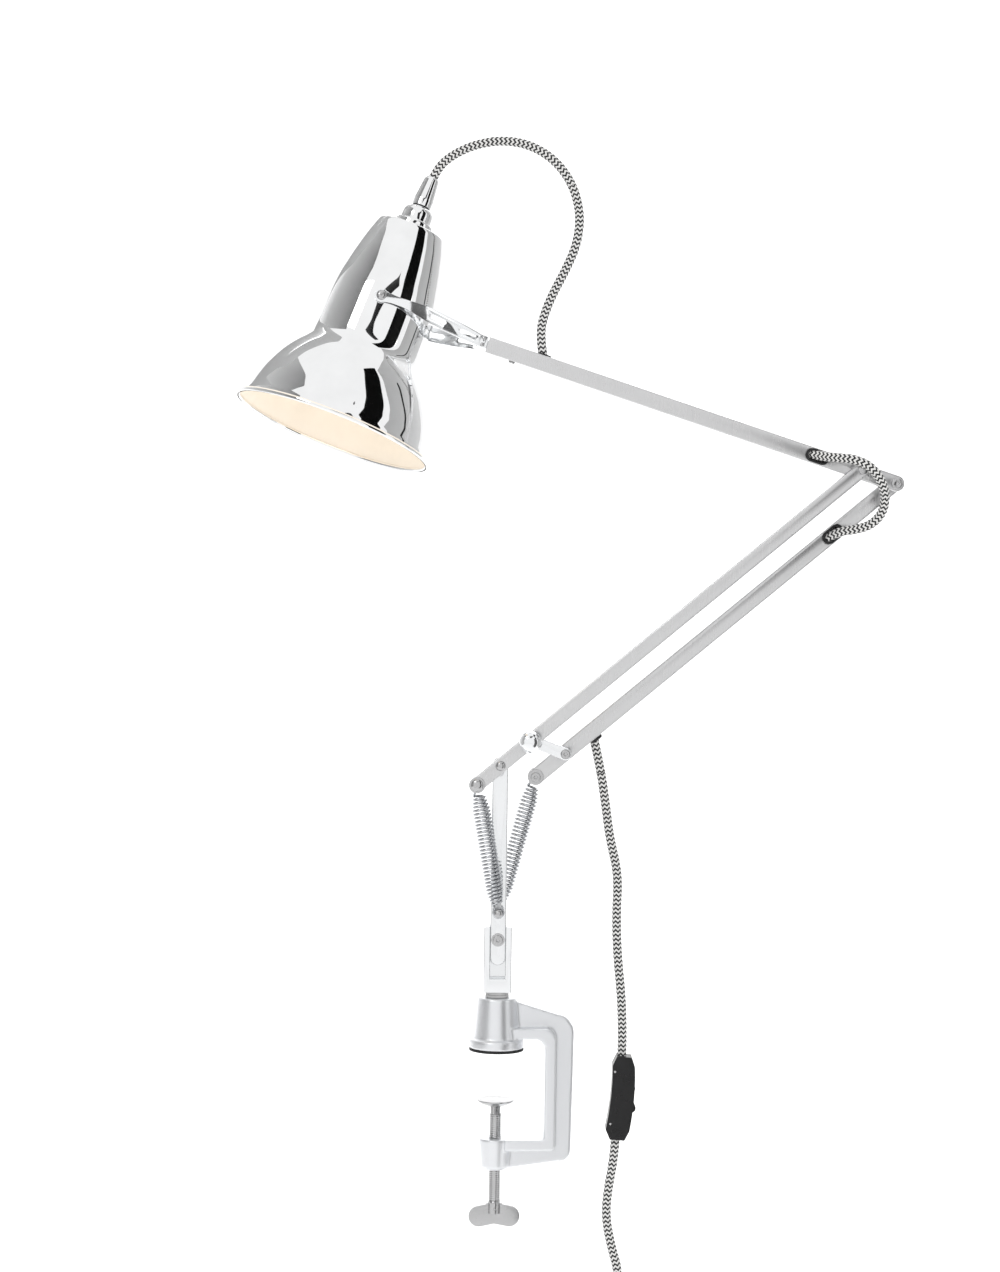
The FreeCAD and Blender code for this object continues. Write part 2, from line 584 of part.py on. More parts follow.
def arm_pieces():
    save("upper_arm", upper_arm())
    save("arm_end_plug", end_plug())
    grub = joined([rod(1.5, on_arm(ARM_LENGTH + GRUB, -3.6), on_arm(ARM_LENGTH + GRUB, -6.4)),
                   rod(2.4, on_arm(ARM_LENGTH + GRUB, -5.9), on_arm(ARM_LENGTH + GRUB, -7.2))])
    save("yoke_grub_screw", grub)
    save("upper_grommet", grommet(on_arm(GROMMET_AT), ARM_WAY, -MID_FACE, -1))
    half = ARM_TUBE / 2
    bush = lathe([(3.5, half - 2.0), (4.45, half - 2.0), (4.45, half), (5.2, half), (4.9, half + 1.0),
                  (3.5, half + 1.0)], on_arm(LEAD_IN), ARM_UP)
    save("lead_in_bush", bush.cut(bore(head_route(), "lead-in bush")))
    save("upper_arm_lead", rod(2.6, on_arm(GROMMET_AT + 14), on_arm(LEAD_IN - 6)))
    bolt = joined([rod(2.4, at(ELBOW, FRONT_FACE - 0.2), at(ELBOW, MID_FACE - 0.6)),
                   hexagon(6.6, 2.3, at(ELBOW, FRONT_FACE - 0.2), FORWARD)])
    save("elbow_fasteners", Part.makeCompound([bolt, layer_washer(ELBOW, 4.9, 2.45, -1)]))
    screw = joined([rod(2.4, at(ARM_END, -MID_FACE - 0.6), at(ARM_END, REAR_FACE + 2.6)),
                    socket_head(4.1, 2.6, 3.0, at(ARM_END, -MID_FACE - 0.1), FORWARD)])
    nut = hexagon(7.0, 2.4, at(ARM_END, REAR_FACE + 0.1), BACK)
    nut = nut.cut(rod(2.42, at(ARM_END, 0), at(ARM_END, 30)))
    washer = layer_washer(ARM_END, 5.4, 2.45, 1)
    save("end_pivot_fasteners", Part.makeCompound([screw, nut, washer]))


# ---- yoke ---------------------------------------------------------------------------
def across():
    """The tilt bolts' line, from the far bolt to the near one, rolled about the arm."""
    roll = math.radians(SHADE_ROLL)
    return Vector(0, -math.cos(roll), 0) + ARM_UP * math.sin(roll)


def yoke_place():
    """The yoke's frame: X along the arm towards the shade, Y to the near bolt, Z up."""
    x = ARM_WAY
    y = across()
    z = x.cross(y)
    matrix = FreeCAD.Matrix(x.x, y.x, z.x, SHADE_AT.x, x.y, y.y, z.y, SHADE_AT.y,
                            x.z, y.z, z.z, SHADE_AT.z, 0, 0, 0, 1)
    return Placement(matrix)


def in_yoke(shape):
    shape.Placement = yoke_place().multiply(shape.Placement)
    return shape


BOW_R = 56.0               # blade's bend beside the shade
BOW_TURN = 32.0            # how far it bends in towards the arm, degrees
BLADE_START = -76.0
SLOTS = ((-49.5, -36.0), (-73.0, -60.0))
HUB_HALF = 5.6
RIVET_X = -78.4
RIVET_R = 0.9


def blade_strip(side):
    """The bent strip before its outline is cut, tall enough for every outline."""
    turn = math.radians(BOW_TURN)
    tall = 14.0

    def line(offset):
        radius = BOW_R + offset
        centre = Vector(-3, YOKE_HALF - BOW_R, 0)
        start = centre + Vector(-radius * math.sin(turn), radius * math.cos(turn), 0)
        way = Vector(-math.cos(turn), -math.sin(turn), 0)
        tail = start + way * ((start.x - BLADE_START) / math.cos(turn))
        middle = centre + Vector(-radius * math.sin(turn / 2), radius * math.cos(turn / 2), 0)
        return tail, start, middle, centre + Vector(0, radius, 0), Vector(6, centre.y + radius, 0)

    out, back = line(BLADE / 2), line(-BLADE / 2)
    edges = [
        Part.LineSegment(out[0], out[1]).toShape(), Part.Arc(out[1], out[2], out[3]).toShape(),
        Part.LineSegment(out[3], out[4]).toShape(), Part.LineSegment(out[4], back[4]).toShape(),
        Part.LineSegment(back[4], back[3]).toShape(), Part.Arc(back[3], back[2], back[1]).toShape(),
        Part.LineSegment(back[1], back[0]).toShape(), Part.LineSegment(back[0], out[0]).toShape(),
    ]
    strip = Part.Face(Part.Wire(edges)).extrude(Vector(0, 0, tall))
    strip.translate(Vector(0, 0, -tall / 2))
    return strip if side > 0 else strip.mirror(Vector(), Vector(0, 1, 0))


def blade_outline():
    """The blade seen from its side: round eye, neck, slotted body, as a block along Y."""
    top = [Vector(-2.6, 0, 4.1), Vector(-8, 0, 3.1), Vector(-20, 0, 3.3), Vector(-36, 0, 5.2),
           Vector(-50, 0, 5.6), Vector(-64, 0, 5.2), Vector(-76, 0, 4.3)]
    curve = Part.BSplineCurve()
    curve.interpolate(top)
    under = Part.BSplineCurve()
    under.interpolate([Vector(p.x, 0, -p.z) for p in reversed(top)])
    edges = [curve.toShape(), Part.LineSegment(top[-1], Vector(-76, 0, -4.3)).toShape(),
             under.toShape(), Part.LineSegment(Vector(-2.6, 0, -4.1), top[0]).toShape()]
    block = Part.Face(Part.Wire(edges)).extrude(Vector(0, 120, 0))
    block.translate(Vector(0, -60, 0))
    eye = rod(4.9, Vector(0, -60, 0), Vector(0, 60, 0))
    block = block.fuse(eye)
    for low, high in SLOTS:
        block = block.cut(stadium(Vector(low + 1.6, 0, 0), Vector(high - 1.6, 0, 0), 3.2, -60, 60))
    return block.cut(rod(2.0 + FIT, Vector(0, -60, 0), Vector(0, 60, 0)))


def yoke_hub():
    """The small block between the blades' ends, with the spigot that turns in the arm."""
    block = Part.makeBox(9.0, 2 * HUB_HALF, 9.4, Vector(-81.4, -HUB_HALF, -4.7))
    block = block.makeFillet(1.2, [e for e in block.Edges if e.BoundBox.XLength > 5])
    spigot = rod(3.5, Vector(PLUG_END + 2.4, 0, 0), Vector(-78, 0, 0))
    return joined([block, spigot])


def blade_foot(side):
    """The straight end of a blade that lies on the hub."""
    y = HUB_HALF if side > 0 else -HUB_HALF - BLADE
    return Part.makeBox(6.5, BLADE, 8.6, Vector(-80.4, y, -4.3))


def yoke_pieces():
    outline = blade_outline()
    hub = yoke_hub()
    rivets, holes = [], []
    for side in (-1, 1):
        for z in (-2.6, 2.6):
            deep, face = Vector(RIVET_X, side * 3.6, z), Vector(RIVET_X, side * (HUB_HALF + BLADE), z)
            way = Vector(0, side, 0)
            rivets.append(joined([rod(RIVET_R, deep, face + way * 0.2),
                                  dome_head(1.6, 0.8, face, way)]))
            holes.append(rod(RIVET_R + 0.02, deep, face + way * 2))
    holes = Part.makeCompound(holes)
    for side, node in ((1, "yoke_blade_near"), (-1, "yoke_blade_far")):
        blade = blade_strip(side).common(outline)
        blade = joined([blade, blade_foot(side)]).cut(hub).cut(holes)
        save(node, in_yoke(blade))
    save("yoke_hub", in_yoke(hub.cut(holes)))
    save("yoke_rivets", in_yoke(Part.makeCompound(rivets)))


# ---- shade --------------------------------------------------------------------------
def shade_place():
    """The shade's frame: Z up along its axis from the middle of the rim, Y along the bolts."""
    tilt = Placement(Vector(), Rotation(Vector(0, 1, 0), SHADE_TILT))
    down = Placement(Vector(0, 0, -SHADE_PIVOT), Rotation())
    return yoke_place().multiply(tilt).multiply(down)


def in_shade(shape):
    shape.Placement = shade_place().multiply(shape.Placement)
    return shape


SHADE_CURVE = [(72.8, 2.4), (68.9, 16), (62.6, 33.6), (52.3, 51.1), (44.3, 60.6), (41.5, 67.0),
               (40.8, 80), (40.3, 98), (37.0, 121), (31.5, 144), (26.6, 159)]
SHADE_TOP = 160.0
BEAD_R = 1.7
HOLDER_HOLE = 5.2


def shade_shell():
    """The spun bell with its rolled rim and flat top."""
    curve = Part.BSplineCurve()
    curve.interpolate([Vector(r, 0, z) for r, z in SHADE_CURVE])
    inner_points = []
    for r, z in SHADE_CURVE:
        point = Vector(r, 0, z)
        way = curve.tangent(curve.parameter(point))[0]
        inner_points.append(point + Vector(-way.z, 0, way.x).normalize() * SHADE_WALL)
    inner = Part.BSplineCurve()
    inner.interpolate(list(reversed(inner_points)))
    first, last = Vector(SHADE_CURVE[0][0], 0, SHADE_CURVE[0][1]), inner_points[0]
    neck = Vector(SHADE_CURVE[-1][0], 0, SHADE_CURVE[-1][1])
    plate = SHADE_TOP - SHADE_WALL
    corner = Vector(neck.x - 1.0, 0, SHADE_TOP)
    under = Vector(inner_points[-1].x - 0.3, 0, plate)
    edges = [
        curve.toShape(),
        Part.LineSegment(neck, corner).toShape(),
        Part.LineSegment(corner, Vector(HOLDER_HOLE, 0, SHADE_TOP)).toShape(),
        Part.LineSegment(Vector(HOLDER_HOLE, 0, SHADE_TOP), Vector(HOLDER_HOLE, 0, plate)).toShape(),
        Part.LineSegment(Vector(HOLDER_HOLE, 0, plate), under).toShape(),
        Part.LineSegment(under, inner_points[-1]).toShape(),
        inner.toShape(),
        Part.LineSegment(last, first).toShape(),
    ]
    shell = Part.Face(Part.Wire(edges)).revolve(Vector(), UP, 360)
    shell = Part.Solid(shell.Shells[0]) if shell.ShapeType != "Solid" else shell
    bead = Part.makeTorus(SHADE_CURVE[0][0] + 0.2, BEAD_R, Vector(0, 0, BEAD_R), UP)
    shell = shell.fuse(bead)
    for side in (-1, 1):
        shell = shell.cut(rod(2.05, Vector(0, side * 30, SHADE_PIVOT),
                              Vector(0, side * 50, SHADE_PIVOT)))
    return shell


def tilt_fasteners():
    """Bolts, washers and nuts at the two ends of the tilt line, each set in its own node."""
    bolts, washers, nuts = [], [], []
    for side in (-1, 1):
        way = Vector(0, side, 0)

        def along(distance, way=way):
            return way * distance + Vector(0, 0, SHADE_PIVOT)

        head = YOKE_HALF + BLADE / 2 + 0.1
        bolts.append(joined([rod(2.0, along(35.6), along(head + 0.5)),
                             dome_head(3.6, 2.2, along(head), way)]))
        washers.append(ring(4.4, 2.05, along(40.4), along(YOKE_HALF - BLADE / 2 - 0.06)))
        nuts.append(hexagon(7.0, 2.6, along(36.4), way).cut(rod(2.02, along(30), along(50))))
    return bolts, washers, nuts


def shade_pieces():
    save("shade", in_shade(shade_shell()))
    bolts, washers, nuts = tilt_fasteners()
    shell = shade_shell()
    loose = [piece.cut(shell) for piece in washers + nuts]
    save("tilt_fasteners", in_shade(Part.makeCompound(bolts + loose)))
    top = SHADE_TOP
    cap = lathe([(5.3, top), (14.5, top), (14.5, top + 5.2), (13.6, top + 6.6), (11.8, top + 6.6),
                 (11.8, top + 12.0), (10.6, top + 16.6, 6.6, top + 18.6), (5.3, top + 18.6)])
    save("shade_cap", in_shade(cap))
    grip = lathe([(CORD_R + 0.1, top + 18.9), (7.4, top + 18.9), (7.4, top + 24.4), (5.6, top + 40.6),
                  (4.6, top + 42.4), (CORD_R + 0.1, top + 42.4)])
    grip = grip.cut(rod(1.5, Vector(0, -10, top + 25), Vector(0, -2, top + 25)))
    screw = joined([rod(1.45, Vector(0, -7.0, top + 25), Vector(0, -CORD_R - 0.1, top + 25)),
                    rod(2.6, Vector(0, -8.4, top + 25), Vector(0, -6.95, top + 25))])
    screw = screw.cut(grip)
    save("cord_grip", in_shade(grip))
    save("cord_grip_screw", in_shade(screw))
    nipple = lathe([(CORD_R + 0.1, top - 8), (5.1, top - 8), (5.1, top + 18.6), (CORD_R + 0.1, top + 18.6)])
    save("threaded_nipple", in_shade(nipple))
    holder_pieces()


HOLDER_LOW = 112.0
HOLDER_R = 17.0


def holder_pieces():
    """Lampholder and lamp, hanging from the nipple inside the shade."""
    high = SHADE_TOP - 8.4
    body = lathe([(0, high - 4), (3.3, high - 4), (3.3, high), (5.25, high), (5.25, high + 2.0),
                  (9.0, high + 2.0), (HOLDER_R, high - 6), (HOLDER_R, HOLDER_LOW), (14.2, HOLDER_LOW),
                  (14.2, HOLDER_LOW + 25), (3.0, HOLDER_LOW + 22.6), (0, HOLDER_LOW + 22.6)])
    save("lampholder", in_shade(body.cut(rod(5.25, Vector(0, 0, high - 0.1), Vector(0, 0, high + 3)))))
    cap = lathe([(0, HOLDER_LOW + 22.4), (4.0, HOLDER_LOW + 22.4), (12.6, HOLDER_LOW + 19.5),
                 (13.2, HOLDER_LOW + 18), (13.2, HOLDER_LOW - 3.4), (12.4, HOLDER_LOW - 3.4),
                 (12.4, HOLDER_LOW + 18), (11.8, HOLDER_LOW + 18.8), (0, HOLDER_LOW + 20.6)])
    save("bulb_cap", in_shade(cap))
    neck = HOLDER_LOW - 3.5
    glass = lathe([(0, 19.1), (2.0, 19.1), (21.8, 28.4, 30.0, 49.0), (24.6, 74.0, 13.6, HOLDER_LOW - 12),
                   (12.3, neck), (11.3, neck), (12.6, HOLDER_LOW - 12), (23.6, 73.8, 29.0, 49.0),
                   (21.0, 29.2, 2.0, 20.1), (0, 20.1)])
    save("bulb_glass", in_shade(glass))


# ---- cords --------------------------------------------------------------------------
def head_route():
    """From the cord grip over in a loop and down into the upper arm."""
    start = shade_place().multVec(Vector(0, 0, SHADE_TOP + 33.0))
    out = shade_place().multVec(Vector(0, 0, SHADE_TOP + 49.5))
    return [start, out,
            Vector(-42.5, 20.0, 655.0), Vector(-25.5, 19.0, 663.0), Vector(-5.0, 17.8, 666.5),
            Vector(15.5, 16.6, 663.0), Vector(33.5, 15.0, 652.0), Vector(46.5, 13.3, 634.5),
            Vector(52.5, 11.8, 613.0), Vector(50.5, 10.0, 591.0), Vector(42.0, 8.2, 571.0),
            Vector(32.0, 6.2, 552.0), Vector(24.8, 3.8, 532.0), Vector(25.0, 1.0, 516.5),
            on_arm(LEAD_IN, 4.0)]


def elbow_route():
    """Out of the upper arm's front, round in front of the elbow and into the rear bar."""
    return [on_arm(GROMMET_AT + 9, 0, 0.0), Vector(228.5, -8.0, 438.2), Vector(240.0, -16.5, 437.0),
            Vector(252.0, -22.0, 436.0), Vector(263.5, -23.6, 431.0), Vector(271.5, -21.0, 421.5),
            Vector(275.8, -16.6, 409.5), Vector(274.4, -11.6, 397.6), Vector(267.0, -6.8, 388.8),
            Vector(256.0, -2.4, 385.2), Vector(247.0, 2.2, 384.0),
            Vector(239.0, 7.6, 380.4), at(ARM_END - BAR_WAY * 69.0, REAR_MID)]


COIL_AT = Vector(97.4, 24.0, -240.0)
COIL_ENTRY = 115.0         # where the cord joins the coil, degrees round it
COIL_EXIT = 205.0          # where it leaves for the plug
PLUG_TOP = -306.0
PLUG_X = 70.0


def coil_point(angle):
    return in_plane(angle, COIL_R, COIL_AT)


def mains_route():
    """From the rear bar down through the switch to the hanging coil."""
    outlet = at(CORD_OUTLET, REAR_MID)
    return [outlet + BAR_DOWN * 3.2, Vector(73.4, 13.0, 208.0), Vector(77.6, 15.4, 182.0),
            Vector(81.4, 18.6, 155.0), Vector(88.4, 21.6, 128.0), Vector(87.4, 23.6, 98.0),
            Vector(88.6, 24.0, 68.0), Vector(92.8, 24.2, 32.0), Vector(93.6, 24.0, -10.0),
            Vector(90.4, 24.0, -50.0), Vector(88.6, 24.0, -84.0), Vector(84.4, 24.0, -108.0),
            Vector(83.0, 24.0, -128.0), Vector(87.6, 24.0, -150.0), Vector(93.4, 24.0, -169.0),
            Vector(91.0, 24.0, -183.0), COIL_AT + in_plane(COIL_ENTRY, COIL_R + 7.2)]


def split_route(points, index):
    """The two halves of a held loop, cut square in the middle of a run."""
    cut = (points[index] + points[index + 1]) * 0.5
    return points[: index + 1] + [cut], [cut] + points[index + 1:]


def coil_ring():
    half_wide, half_thick = 10.4, 7.0
    section = [(COIL_R - half_thick, -half_wide + 3), (COIL_R - half_thick + 3, -half_wide),
               (COIL_R + half_thick - 3, -half_wide), (COIL_R + half_thick, -half_wide + 3),
               (COIL_R + half_thick, half_wide - 3), (COIL_R + half_thick - 3, half_wide),
               (COIL_R - half_thick + 3, half_wide), (COIL_R - half_thick, half_wide - 3)]
    return lathe(section, COIL_AT, BACK)


def coil_tie(angle):
    """A band round the coil's turns, open where the turns fill it."""
    centre = coil_point(angle)
    out = in_plane(angle, 1)
    way = in_plane(angle + 90, 1)
    band = Part.makeBox(10, 24.0, 17.2, Vector(-5, -12.0, -8.6))
    band = band.cut(Part.makeBox(12, 21.4, 14.8, Vector(-6, -10.7, -7.4)))
    x, y, z = way, Vector(0, 1, 0), out
    band.Placement = Placement(FreeCAD.Matrix(x.x, y.x, z.x, centre.x, x.y, y.y, z.y, centre.y,
                                              x.z, y.z, z.z, centre.z, 0, 0, 0, 1))
    return band


def cord_pieces():
    first, second = split_route(head_route(), 7)
    save("head_cord_shade_half", cord_tube(first, CORD_R, "head_cord_shade_half"))
    save("head_cord_arm_half", cord_tube(second, CORD_R, "head_cord_arm_half"))
    first, second = split_route(elbow_route(), 6)
    save("elbow_cord_upper_half", cord_tube(first, CORD_R, "elbow_cord_upper_half"))
    save("elbow_cord_lower_half", cord_tube(second, CORD_R, "elbow_cord_lower_half"))
    ring_solid = coil_ring()
    save("mains_cord_coil", ring_solid)
    save("mains_cord", cord_tube(mains_route(), CORD_R, "mains_cord").cut(ring_solid))
    tail = cord_tube(tail_route(), CORD_R, "mains_cord_tail")
    save("mains_cord_tail", tail.cut(ring_solid))
    save("coil_ties", Part.makeCompound([coil_tie(60), coil_tie(300)]))
    plug_pieces(PLUG_X)
    switch_pieces()


def tail_route():
    """From the coil down into the plug's neck."""
    leave = COIL_AT + in_plane(COIL_EXIT, COIL_R + 7.2)
    return [leave, leave + Vector(3.0, 0, -14.0), Vector(PLUG_X - 1.6, 24.0, -291.0),
            Vector(PLUG_X, 24.0, PLUG_TOP + 1.0), Vector(PLUG_X, 24.0, PLUG_TOP - 5.5)]


def plug_pieces(x):
    """A round two-pin plug with a ribbed neck, hanging on the cord's end."""
    top = PLUG_TOP
    body = lathe([(CORD_R, 0), (4.6, 0), (6.2, -16), (10.5, -19), (13.0, -24), (13.6, -36),
                  (13.6, -38), (0, -38), (0, -6), (CORD_R, -6)], Vector(x, 24.0, top), UP)
    save("plug_body", body)
    pins = [rod(2.0, Vector(x + side * 9.5, 24.0, top - 57), Vector(x + side * 9.5, 24.0, top - 38))
            for side in (-1, 1)]
    save("plug_pins", Part.makeCompound(pins))


# ---- inline switch ------------------------------------------------------------------
SWITCH_AT = Vector(92.6, 24.0, -38.0)
SWITCH_LEAN = 4.2          # about the front-to-back line, degrees
SWITCH_LONG = 62.0
SWITCH_WIDE = 17.0
SWITCH_DEEP = 16.0
ROCKER_Z = 0.0
ROCKER_TILT = 6.0          # rocker's rest position, one end pressed in, degrees


def in_switch(shape):
    """Place a switch piece from its own frame: Z along the cord, X towards the rocker."""
    turn = Rotation(Vector(0, 1, 0), SWITCH_LEAN)
    shape.Placement = Placement(SWITCH_AT, turn).multiply(shape.Placement)
    return shape


def switch_outline(inset, y_low, y_high):
    """The switch's bowed body between two Y planes, inset by a wall."""
    top, wide, end = SWITCH_LONG / 2 - inset, SWITCH_WIDE / 2 - inset, 5.4 - inset
    shoulder = top - 7.0
    left = [Vector(-end, 0, -top), Vector(-wide - 0.6, 0, -shoulder), Vector(-wide + 1.2, 0, 0),
            Vector(-wide + 0.4, 0, shoulder), Vector(-end, 0, top)]
    right = [Vector(end, 0, top), Vector(wide, 0, shoulder), Vector(wide + 1.4, 0, 0),
             Vector(wide, 0, -shoulder), Vector(end, 0, -top)]
    edges = [
        Part.LineSegment(left[0], left[1]).toShape(),
        Part.Arc(left[1], left[2], left[3]).toShape(),
        Part.LineSegment(left[3], left[4]).toShape(),
        Part.LineSegment(left[4], right[0]).toShape(),
        Part.LineSegment(right[0], right[1]).toShape(),
        Part.Arc(right[1], right[2], right[3]).toShape(),
        Part.LineSegment(right[3], right[4]).toShape(),
        Part.LineSegment(right[4], left[0]).toShape(),
    ]
    block = Part.Face(Part.Wire(edges)).extrude(Vector(0, y_high - y_low, 0))
    block.translate(Vector(0, y_low, 0))
    return block


def switch_pieces():
    half, wall = SWITCH_DEEP / 2, 1.8
    inside = switch_outline(wall, -half + wall, half - wall)
    opening = Part.makeBox(12, 9.0, 24.4, Vector(4, -4.5, ROCKER_Z - 12.2))
    cord = bore(mains_route(), "switch")
    cord.Placement = Placement(SWITCH_AT, Rotation(Vector(0, 1, 0), SWITCH_LEAN)).inverse()
    screws = [SWITCH_LONG / 2 - 11.5, 11.5 - SWITCH_LONG / 2]
    screw_x = -5.9
    for node, low, high in (("switch_front_shell", -half, -0.05), ("switch_back_shell", 0.05, half)):
        shell = switch_outline(0, low, high)
        shell = shell.cut(inside).cut(opening).cut(cord)
        for z in screws:
            pillar = rod(2.0, Vector(screw_x, low, z), Vector(screw_x, high, z))
            shell = shell.fuse(pillar.common(switch_outline(0, low, high)).cut(cord))
            shell = shell.cut(rod(1.05, Vector(screw_x, -half, z), Vector(screw_x, half - 2, z)))
        save(node, in_switch(shell.removeSplitter()))
    bodies = [rod(1.0, Vector(screw_x, -half + 0.2, z), Vector(screw_x, half - 2.2, z))
              for z in screws]
    save("switch_screws", in_switch(Part.makeCompound(bodies)))
    pivot_x = 6.6
    rocker = stadium(Vector(pivot_x + 1.2, 0, -7.4), Vector(pivot_x + 1.2, 0, 7.4), 6.6, -4.2, 4.2)
    hollow = rod(16, Vector(pivot_x + 19.0, -5, 0), Vector(pivot_x + 19.0, 5, 0))
    rocker = rocker.cut(hollow).cut(Part.makeBox(10, 12, 40, Vector(pivot_x - 12.2, -6, -20)))
    rocker = rocker.fuse(rod(1.0, Vector(pivot_x, -5.4, 0), Vector(pivot_x, 5.4, 0))).removeSplitter()
    rocker.rotate(Vector(pivot_x, 0, 0), BACK, -ROCKER_TILT)
    save("switch_rocker", in_switch(rocker))


os.makedirs("parts", exist_ok=True)
clamp_pieces()
screw_pieces()
swivel_pieces()
spring_pieces()
bar_pieces()
arm_pieces()
yoke_pieces()
shade_pieces()
cord_pieces()
print("nodes:", len(made))
for node, volume in made.items():
    print("%-24s %10.1f mm3" % (node, volume))
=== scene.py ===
"""A balanced desk lamp: its finishes, braided cords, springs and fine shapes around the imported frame."""

import json
import logging
import math
from dataclasses import dataclass
from enum import Enum
from typing import Iterable, Sequence

import bmesh
import bpy
from mathutils import Matrix, Vector

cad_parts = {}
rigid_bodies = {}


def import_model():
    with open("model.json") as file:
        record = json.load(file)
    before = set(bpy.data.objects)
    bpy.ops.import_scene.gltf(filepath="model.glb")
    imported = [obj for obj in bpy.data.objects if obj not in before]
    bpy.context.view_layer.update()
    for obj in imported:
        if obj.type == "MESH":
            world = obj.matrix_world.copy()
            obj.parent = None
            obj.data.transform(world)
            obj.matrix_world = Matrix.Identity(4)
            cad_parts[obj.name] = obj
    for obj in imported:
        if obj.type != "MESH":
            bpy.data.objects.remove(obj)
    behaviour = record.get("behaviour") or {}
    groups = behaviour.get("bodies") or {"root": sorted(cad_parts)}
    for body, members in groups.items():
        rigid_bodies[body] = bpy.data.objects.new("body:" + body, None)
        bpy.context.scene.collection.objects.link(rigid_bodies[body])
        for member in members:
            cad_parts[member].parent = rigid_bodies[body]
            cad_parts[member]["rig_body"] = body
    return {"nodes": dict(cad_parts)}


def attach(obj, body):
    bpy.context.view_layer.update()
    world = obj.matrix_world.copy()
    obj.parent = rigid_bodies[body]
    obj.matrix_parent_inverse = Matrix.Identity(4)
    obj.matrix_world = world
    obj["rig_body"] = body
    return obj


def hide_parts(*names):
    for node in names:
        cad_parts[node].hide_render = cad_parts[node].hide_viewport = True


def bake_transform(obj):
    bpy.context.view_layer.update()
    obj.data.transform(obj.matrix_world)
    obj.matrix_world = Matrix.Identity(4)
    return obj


Socket = bpy.types.NodeSocket
Profile = Sequence[tuple[float, float]]
Outline = tuple[tuple[float, float], ...]
Triple = tuple[float, float, float]

LOG = logging.getLogger("lamp")
MM = 0.001
FRONT = Vector((0, -1, 0))
UP = Vector((0, 0, 1))


# ---- the frame's own lines ----
@dataclass(frozen=True)
class Layout:
    """The lamp's driving lines, in metres and degrees, shared by its sub-assemblies."""

    pivot_z: float = 0.210
    bar_rise: float = 40.2
    bar_span: float = 0.339
    link_station: float = 0.028
    tail: float = 0.022
    crank: float = 0.0277
    crank_drop: float = 20.5
    arm_drop: float = 17.9
    arm_length: float = 0.396
    shade_roll: float = 9.0
    shade_tilt: float = -2.4
    shade_pivot: float = 0.098
    anchor_z: float = 0.1026
    front_spring_y: float = -0.0129
    rear_spring_y: float = 0.0131

    @staticmethod
    def heading(angle: float, length: float = 1.0) -> Vector:
        """A step of a length at an angle above +X, in the XZ plane."""
        turn = math.radians(angle)
        return Vector((length * math.cos(turn), 0, length * math.sin(turn)))

    @property
    def pivot(self) -> Vector:
        """The main pivot."""
        return Vector((0, 0, self.pivot_z))

    @property
    def elbow(self) -> Vector:
        """The pivot between the front bar and the upper arm."""
        return self.pivot + self.heading(self.bar_rise, self.bar_span)

    @property
    def step(self) -> Vector:
        """The offset that the link, the elbow and the rear spring's pin share."""
        return self.heading(-self.crank_drop, self.crank)

    @property
    def arm_end(self) -> Vector:
        """The pivot between the upper arm's end and the rear bar."""
        return self.elbow + self.step

    @property
    def front_hook(self) -> Vector:
        """The front spring's upper pin."""
        return self.pivot - self.heading(self.bar_rise, self.tail)

    @property
    def rear_hook(self) -> Vector:
        """The rear spring's upper pin."""
        return self.pivot + self.step

    @property
    def anchor(self) -> Vector:
        """The pin in the post that both springs pull on."""
        return Vector((0, 0, self.anchor_z))

    @property
    def bar_way(self) -> Vector:
        """Along the lower bars, towards the elbow."""
        return self.heading(self.bar_rise)

    @property
    def arm_way(self) -> Vector:
        """Along the upper arm, towards the shade."""
        return self.heading(180 - self.arm_drop)

    @property
    def arm_up(self) -> Vector:
        """Across the upper arm, upwards."""
        return self.heading(90 - self.arm_drop)

    @property
    def yoke_frame(self) -> Matrix:
        """The yoke's frame: X to the shade, Y to the near bolt, Z up, at the shade's pivot."""
        roll = math.radians(self.shade_roll)
        y = FRONT * math.cos(roll) + self.arm_up * math.sin(roll)
        x = self.arm_way
        turn = Matrix((x, y, x.cross(y))).transposed().to_4x4()
        return Matrix.Translation(self.arm_end + self.arm_way * self.arm_length) @ turn

    @property
    def shade_frame(self) -> Matrix:
        """The shade's frame: Z up its axis from the middle of the rim."""
        tilt = Matrix.Rotation(math.radians(self.shade_tilt), 4, "Y")
        return self.yoke_frame @ tilt @ Matrix.Translation((0, 0, -self.shade_pivot))


LAMP = Layout()


